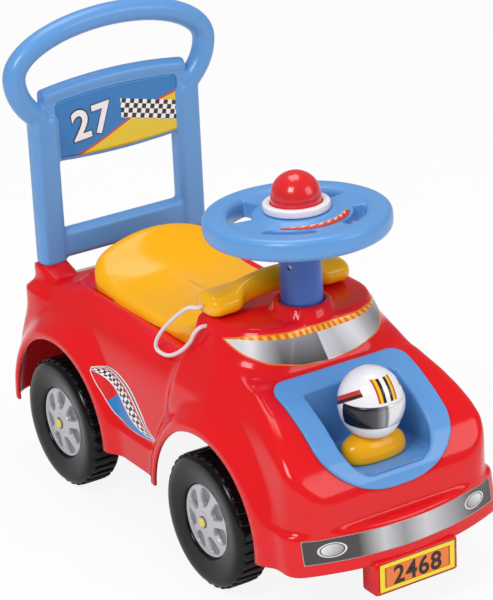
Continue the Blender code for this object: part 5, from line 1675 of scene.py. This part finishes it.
@dataclass
class RoadWheel:
    """One wheel: turned tyre with tread bars and petalled cover."""

    axle: Axle
    side: Side
    tyre: Material
    cover: Material
    radius: float = 0.066
    width: float = 0.034
    outer: float = 0.1276
    rim: float = 0.0365
    web: float = 0.008
    bars: int = 36
    petals: int = 7

    @property
    def tag(self) -> str:
        """Name of the wheel's place, as the CAD writes it."""
        return f"{self.axle.name.lower()}_{self.side.name.lower()}"

    def frame(self) -> Matrix:
        """Matrix whose Z points out of the wheel's face."""
        centre = (self.side.value * self.outer, self.axle.value, WHEEL_CENTRE_Z)
        return Matrix.Translation(centre) @ Matrix.Rotation(self.side.value * math.pi / 2, 4, "Y")

    def ring(self) -> Object:
        """Tyre with a dished, rounded side wall."""
        tread = self.radius - 0.0014
        side_wall = [
            (0.0044, -self.web), (0.0044, -0.0401), (0.009, -0.0401), (0.009, -self.web - 0.0035),
            (self.rim, -self.web - 0.0035), (tread - 0.007, -0.0060), (tread - 0.007, 0.001 - self.width),
            (tread - 0.0035, -self.width), (tread - 0.0010, -self.width + 0.0008),
            (tread, -self.width + 0.0030),
            (tread, -0.0062), (tread - 0.0010, -0.0032), (tread - 0.0032, -0.0010), (tread - 0.0070, 0.0),
            (tread - 0.0120, -0.0002), (tread - 0.0170, -0.0010), (tread - 0.0210, -0.0020),
            (self.rim + 0.0020, -0.0028), (self.rim + 0.0004, -0.0036), (self.rim, -0.0050),
            (self.rim, -self.web),
        ]
        return revolve(f"tyre_{self.tag}_moulding", side_wall, self.tyre, self.frame(), 120, loop=True)

    def bar_tree(self) -> bpy.types.NodeTree:
        """Geometry nodes that set equal bars round a circle."""
        tree = bpy.data.node_groups.new("tread_bars", "GeometryNodeTree")
        tree.interface.new_socket("Geometry", in_out="INPUT", socket_type="NodeSocketGeometry")
        for name, kind in (("Bars", "NodeSocketInt"), ("Circle Radius", "NodeSocketFloat"),
                           ("Bar Size", "NodeSocketVector"), ("Finish", "NodeSocketMaterial")):
            tree.interface.new_socket(name, in_out="INPUT", socket_type=kind)
        tree.interface.new_socket("Geometry", in_out="OUTPUT", socket_type="NodeSocketGeometry")
        given = add(tree, "NodeGroupInput").outputs
        circle = add(tree, "GeometryNodeMeshCircle", {
            "Vertices": given["Bars"], "Radius": given["Circle Radius"]})
        bar = add(tree, "GeometryNodeMeshCube", {"Size": given["Bar Size"]})
        round_bar = add(tree, "GeometryNodeSubdivisionSurface", {
            "Mesh": bar, "Level": 2, "Edge Crease": 0.72})
        place = add(tree, "GeometryNodeInputPosition")
        turn = add(tree, "FunctionNodeAlignRotationToVector", {"Vector": place}, axis="X", pivot_axis="Z")
        spread = add(tree, "GeometryNodeInstanceOnPoints", {
            "Points": circle, "Instance": round_bar, "Rotation": turn})
        real = add(tree, "GeometryNodeRealizeInstances", (spread,))
        dress = add(tree, "GeometryNodeSetMaterial", {"Geometry": real, "Material": given["Finish"]})
        add(tree, "NodeGroupOutput", {"Geometry": dress})
        return tree

    def tread(self, tree: bpy.types.NodeTree) -> Object:
        """Bars across the tread, from the geometry nodes."""
        name = f"tread_{self.tag}_bars"
        thing = put(name, bpy.data.meshes.new(name))
        modifier = thing.modifiers.new("bars", "NODES")
        modifier.node_group = tree
        sizes = {"Bars": self.bars, "Circle Radius": self.radius - 0.0022,
                 "Bar Size": (0.0044, 0.0072, self.width - 0.006), "Finish": self.tyre}
        for item in tree.interface.items_tree:
            if item.in_out == "INPUT" and item.name in sizes:
                modifier[item.identifier] = sizes[item.name]
        apply_modifiers(thing)
        shift = Matrix.Translation((0, 0, -self.width / 2 - 0.0006))
        thing.data.transform(self.frame() @ shift)
        return thing

    def petal(self, radius: Array, angle: Array) -> Array:
        """How far a place on the cover is sunk in a petal, from 0 to 1."""
        step = 2 * math.pi / self.petals
        local = (angle + step / 2) % step - step / 2
        along = (radius - 0.0240) / 0.0086
        wide = 0.0032 + 0.0058 * np.clip((radius - 0.014) / 0.016, 0, 1)
        across = local * radius / wide
        petal = (np.abs(along) ** 3.4 + np.abs(across) ** 3.4) ** (1 / 3.4)
        sink = np.clip((1.06 - petal) / 0.14, 0, 1)
        return sink * sink * (3 - 2 * sink)

    def cover_disc(self) -> Object:
        """Wheel cover with sunk petals round a raised middle ring."""
        radii = np.concatenate([np.linspace(0.0060, 0.0105, 8), np.linspace(0.0110, 0.0330, 44),
                                np.linspace(0.0334, 0.0359, 7)])
        spokes = 280
        angles = np.linspace(0, 2 * math.pi, spokes, endpoint=False)
        radius, angle = np.meshgrid(radii, angles, indexing="ij")
        sink = self.petal(radius, angle)
        crown = 0.0016 + 0.0044 * np.clip((0.036 - radius) / 0.026, 0, 1) ** 0.8
        middle = np.clip((0.0102 - radius) / 0.0006, 0, 1) * 0.0007
        border = np.clip((radius - 0.0334) / 0.0006, 0, 1) * 0.0010
        edge = np.clip((radius - 0.0352) / 0.0007, 0, 1) * 0.0008
        height = -self.web + crown + middle + border - edge - np.minimum(0.0046, crown - 0.0005) * sink
        top = np.stack([radius * np.cos(angle), radius * np.sin(angle), height], axis=-1)
        low = top[-1].copy()
        low[:, 2] = -self.web + 0.0003
        inner = top[0].copy()
        inner[:, 2] = -self.web + 0.0003
        rings = np.concatenate([inner[None], top, low[None]])
        frame_ = self.frame()
        rings = [[tuple(frame_ @ Vector(p)) for p in ring] for ring in rings]
        cover = loft(f"cover_{self.tag}_moulding", rings, self.cover, closed=False, loop=True)
        # how deep each point sinks, kept for the cover's painted shade
        back = np.array(frame_.inverted())
        local = np.array([v.co for v in cover.data.vertices]) @ back[:3, :3].T + back[:3, 3]
        petal_shade_depth = self.petal(np.hypot(local[:, 0], local[:, 1]), np.arctan2(local[:, 1], local[:, 0]))
        attribute = cover.data.attributes.new("petal", "FLOAT", "POINT")
        attribute.data.foreach_set("value", petal_shade_depth.astype(np.float32))
        return cover

    def build(self, tree: bpy.types.NodeTree) -> None:
        """Make the wheel's pieces."""
        body = f"wheel_{self.tag}"
        settle(self.ring(), body, [f"tyre_{self.tag}"])
        settle(self.tread(tree), body)
        settle(self.cover_disc(), body, [f"hubcap_{self.tag}"])


# Seat


@dataclass
class Seat:
    """Hinged saddle seat."""

    yellow: Material
    half: float = 0.075
    front: float = -0.0415
    rear: float = 0.179
    corner: float = 0.026
    wall: float = 0.003
    hinge: tuple[float, float] = (0.185, 0.203)

    def height(self, x: Array, y: Array) -> Array:
        """Top of the seat."""
        ys = (self.front, -0.030, -0.015, 0.0, 0.018, 0.040, 0.070, 0.105, 0.128, 0.146, 0.160, 0.171,
              self.rear)
        zs = (0.0415, 0.0352, 0.0272, 0.0210, 0.0162, 0.0128, 0.0113, 0.0130, 0.0185, 0.0285, 0.0395, 0.0450,
              0.0420)
        drops = curve_through(y, (self.front, 0.0, 0.110, 0.140, 0.158, self.rear),
                              (0.003, 0.004, 0.006, 0.012, 0.020, 0.022))
        rise = curve_through(y, ys, zs)
        return DECK_Z + rise - drops * np.clip(np.abs(x) / self.half, 0, 1) ** 2

    def ring(
        self, shrink: float, drop: float, floor: float | None = None,
    ) -> list[tuple[float, float, float]]:
        """One ring of the seat, a step in from its outline."""
        outline = outline_box(self.half, self.front, self.rear, self.corner, self.corner, 14)
        dense = []
        for a, b in zip(outline, np.roll(outline, -1, axis=0)):
            parts = max(1, int(round(np.linalg.norm(b - a) / 0.005)))
            dense += [a + (b - a) * k / parts for k in range(parts)]
        plan = np.array(dense)
        middle = np.array([0.0, 0.5 * (self.front + self.rear)])
        scale = np.array([1 - shrink / self.half, 1 - shrink / (0.5 * (self.rear - self.front))])
        plan = (plan - middle) * scale + middle
        z = self.height(plan[:, 0], plan[:, 1]) - drop if floor is None else np.full(len(plan), floor)
        return [(float(x), float(y), float(h)) for (x, y), h in zip(plan, z)]

    def shell(self) -> Object:
        """Thin seat with a rounded edge and a skirt."""
        skirt = DECK_Z + 0.0005
        rings = [self.ring(*step) for step in (
            (0.071, self.wall), (0.040, self.wall), (0.012, self.wall + 0.001), (0.006, self.wall + 0.004),
            (self.wall, 0, skirt), (0.0004, 0, skirt), (0.0, 0, skirt + 0.0006), (0.0, 0.0085))]
        for k in range(1, 8):
            angle = 0.5 * math.pi * k / 7
            rings.append(self.ring(0.0075 * (1 - math.cos(angle)), 0.0085 * (1 - math.sin(angle))))
        rings += [self.ring(s, 0.0) for s in (0.012, 0.018, 0.026, 0.034, 0.042, 0.050, 0.058, 0.066, 0.071)]
        return loft("seat_moulding", rings, self.yellow)

    def knuckles(self) -> Object:
        """Hinge knuckles and their tongues behind the seat."""
        y0, z0 = self.hinge
        sections = ((0.043, 0.0005), (0.0435, 0.0), (0.0535, 0.0), (0.054, 0.0005))
        return both_sides("seat_knuckles", sections, lambda inset: [
            *((y0 + (0.0046 - inset) * math.cos(a), z0 + (0.0046 - inset) * math.sin(a))
              for a in np.linspace(-0.65 * math.pi, 0.65 * math.pi, 25)),
            (0.1765, z0 + 0.003), (0.1765, z0 - 0.003)], self.yellow)

    def build(self) -> None:
        """Make the seat."""
        settle(self.shell(), "seat", ["seat_lid"])
        settle(self.knuckles(), "seat")


# Backrest


@dataclass
class Backrest:
    """Backrest with its two posts, bars and push handle."""

    blue: Material
    white: Material
    post_x: float = 0.0825
    post_y: float = 0.233
    post_low: float = 0.2068
    post_top: float = 0.362
    handle_half: float = 0.1095
    handle_z: float = 0.404
    handle_rise: float = 0.046
    handle_drop: float = 0.070
    tube: float = 0.0115
    voxel: float = 0.0016

    def post(self, side: Side) -> Object:
        """One post, with the stub that goes into the body."""
        rings = []
        for z, spread in ((0.1553, -0.003), (self.post_low, -0.003), (self.post_low, 0.0),
                          (self.post_top - 0.006, 0.0), (self.post_top - 0.002, -0.001),
                          (self.post_top, -0.004)):
            corner = 0.006 + spread * 0.5
            outline = outline_box(0.01375 + spread, -0.011 - spread, 0.011 + spread, corner, corner, 6)
            rings.append([(x + side.value * self.post_x, y + self.post_y, z) for x, y in outline])
        return loft("post", rings, self.blue)

    def crossing(self, steps: int, section: Callable[[float], Sequence]) -> Object:
        """Loft from post to post, from the section along Y and Z at each place across."""
        return loft("crossing", [[(x, self.post_y + a, b) for a, b in section(x)]
                                 for x in np.linspace(-self.post_x, self.post_x, steps)], self.blue)

    def bar(self, low: float, high: float, depth: float, radius: float) -> Object:
        """Bar from post to post."""
        half = (high - low) / 2
        outline = outline_box(depth / 2, -half, half, radius, radius, 6) + (0.0, 0.5 * (low + high))
        return self.crossing(12, lambda x: outline)

    def handle(self) -> Object:
        """Oval tube of the push handle."""
        drop = math.asin(math.sqrt(1 - ((self.post_x + 0.001) / self.handle_half) ** 2))
        rings = []
        for angle in np.linspace(-drop, math.pi + drop, 90):
            height = self.handle_rise if math.sin(angle) > 0 else self.handle_drop
            centre = Vector((self.handle_half * math.cos(angle), self.post_y,
                             self.handle_z + height * math.sin(angle)))
            along = Vector((-self.handle_half * math.sin(angle), 0, height * math.cos(angle))).normalized()
            out = Vector((along.z, 0, -along.x))
            rings.append([centre + out * self.tube * c + Vector((0, self.tube * s, 0))
                          for c, s in unit_ring(28)])
        return loft("handle", rings, self.blue)

    def bulge(self, x: float) -> float:
        """Share of the panel's bulge at a place across it."""
        return 1 - (x / self.post_x) ** 2

    def panel(self) -> Object:
        """Panel between the posts, arched above and below."""
        return self.crossing(24, lambda x: outline_box(
            0.0072, 0.3125 - 0.0045 * self.bulge(x), 0.378 + 0.0065 * self.bulge(x), 0.005, 0.005, 6))

    def roll(self) -> Object:
        """Rolled upper edge of the panel."""
        return self.crossing(24, lambda x: [
            (0.0085 * c, 0.3795 + 0.0065 * self.bulge(x) + 0.0085 * s) for c, s in unit_ring(28)])

    def film(self) -> None:
        """Printed film on the front of the panel, with a plain number."""
        across = np.linspace(-0.0705, 0.0705, 61)
        share = np.linspace(0, 1, 25)
        low = 0.3175 - 0.0045 * self.bulge(across)
        high = 0.3725 + 0.0060 * self.bulge(across)
        # rounded corners: the film's ends draw in towards its middle
        corner = 0.0035 * (1 - np.sqrt(1 - np.clip((np.abs(across) - 0.067) / 0.0035, 0, 1) ** 2))
        low, high = low + corner, high - corner
        z = low[:, None] + (high - low)[:, None] * share
        x = across[:, None] * np.ones_like(share)
        flat = np.stack([x, np.full_like(x, self.post_y - 0.0074), z], axis=-1).reshape(-1, 3)
        uv = np.stack([flat[:, 0], flat[:, 2] - 0.318], axis=1)
        print_ = BackFilm("backrest_film", 0.26, 0.3).build()
        film = make_mesh("backrest_film", flat, grid_faces(*x.shape), print_, uv)
        settle(mend(thicken(film, 0.0002)), "car")
        turn = Matrix.Rotation(math.radians(-6), 4, "Y")
        for name, ink, lift, border in (("number_face", self.white, 0.00012, 0.0),
                                        ("number_shadow", BLACK_INK.build(), 0.00006, 0.0014)):
            figures = print_text(name, "27", 0.030, ink)
            if border:
                swell(figures, border)
            place = (Matrix.Translation((-0.030, self.post_y - 0.0076 - lift, 0.3465)) @ turn
                     @ Matrix.Rotation(math.pi / 2, 4, "X"))
            figures.data.transform(place)
            settle(figures, "car")

    def build(self) -> None:
        """Make the backrest."""
        parts = [self.post(side) for side in Side]
        parts += [self.bar(0.209, 0.238, 0.018, 0.005), self.panel(), self.roll(), self.handle()]
        settle(fuse("backrest_moulding", parts, self.voxel, 6), "car", ["backrest_frame"])
        self.film()


def swell(thing: Object, amount: float) -> None:
    """Swell flat figures sideways, for an outline behind them."""
    with opened(thing.data) as bm:
        bmesh.ops.remove_doubles(bm, verts=bm.verts, dist=1e-6)
        bm.normal_update()
        shift = {}
        for vert in bm.verts:
            upright = [face.normal for face in vert.link_faces if abs(face.normal.z) < 0.5]
            push = sum(upright, Vector((0, 0, 0)))
            shift[vert] = push.normalized() * amount if push.length > 0.1 else push
        for vert, push in shift.items():
            vert.co += Vector((push.x, push.y, 0))


# Handset


@dataclass
class Handset:
    """Toy telephone handset that lies across the cowl."""

    yellow: Material
    middle: tuple[float, float] = (-0.005, -0.0585)
    half: float = 0.078
    ear_x: float = 0.058
    bottom: float = 0.2438

    def build(self) -> None:
        """Make the handset as one smooth loft."""
        ear = self.half - self.ear_x
        stations = ((1.0, 0.20), (0.985, 0.45), (0.94, 0.66), (0.85, 0.83), (0.70, 0.94), (0.5, 0.99),
                    (0.25, 1.0), (0.0, 1.0), (-0.3, 0.99), (-0.55, 0.95))
        places = [(self.ear_x + ear * s, 0.0195 * k, 0.0110 * k) for s, k in stations]
        places += [(self.ear_x - ear * 0.75, 0.0155, 0.0106), (self.ear_x - ear * 0.95, 0.0120, 0.0108),
                   (self.ear_x - ear * 1.2, 0.0104, 0.0112), (self.ear_x - ear * 1.6, 0.0100, 0.0116),
                   (0.014, 0.0100, 0.0118), (0.005, 0.0100, 0.0118)]
        places += [(-x, deep, high) for x, deep, high in reversed(places)]
        rings = []
        for x, deep, high in places:
            share = min(1.0, abs(x) / (self.ear_x - ear * 0.4))
            centre = self.bottom + 0.0110 + 0.0073 * (1 - share ** 2)
            rings.append([(self.middle[0] + x, self.middle[1] + deep * c, centre + high * s)
                          for c, s in unit_ring(40, 0.8)])
        handset = loft("handset_moulding", rings, self.yellow)
        settle(handset, "phone", ["handset"])


# Assembly


def dress_cad_nodes(finishes: dict[str, Material]) -> None:
    """Give the CAD nodes that stay in view their finish.

    Args:
        finishes: Node name to material.
    """
    for name, material in finishes.items():
        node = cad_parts[name]
        for slot in node.material_slots:
            slot.material = material
        LOG.info("%s keeps its CAD shape", name)


def main() -> None:
    """Build the studio and every piece."""
    logging.basicConfig(level=logging.INFO, format="%(name)s: %(message)s")
    Studio().build()
    TelephoneCord().build()
    # deep holds the column's darker copy of the blue, which is painted shade
    red, blue, deep, yellow = (f.build() for f in (RED_BODY, BLUE_FRAME, BLUE_COLUMN_SHADED, YELLOW_SEAT))
    cover = CoverPaintedShade("pearl_grey_polystyrene", 0.34, metallic=0.25)
    black, bracket, grey = (f.build() for f in (BLACK_WHEEL, BLACK_BRACKET, cover))
    white, horn_red, steel = (f.build() for f in (WHITE_PART, RED_HORN, ZINC_STEEL))
    form = BodyForm()
    Body(form, red).build()
    Stickers(form).build()
    Cockpit(form, blue, yellow).build()
    Steering(blue, deep, white, horn_red).build()
    tree = None
    for axle in Axle:
        for side in Side:
            wheel = RoadWheel(axle, side, black, grey)
            tree = tree or wheel.bar_tree()
            wheel.build(tree)
    Seat(yellow).build()
    Backrest(blue, white).build()
    Handset(yellow).build()
    kept = {name: steel for name in ("front_axle", "rear_axle", "steering_shaft", "seat_hinge_pin",
                                     "column_screw", "backrest_screw_left", "backrest_screw_right")}
    kept |= {name: bracket for name in ("front_yoke", "column_guide", "storage_bin")}
    for axle in Axle:
        cap = AxleCapFinish(f"cap_in_sleeve_{axle.name.lower()}", axle=axle).build()
        kept |= {f"axle_cap_{axle.name.lower()}_{side.name.lower()}": cap for side in Side}
    kept["horn_squeaker"] = white
    dress_cad_nodes(kept)


if __name__ == "__main__":
    main()
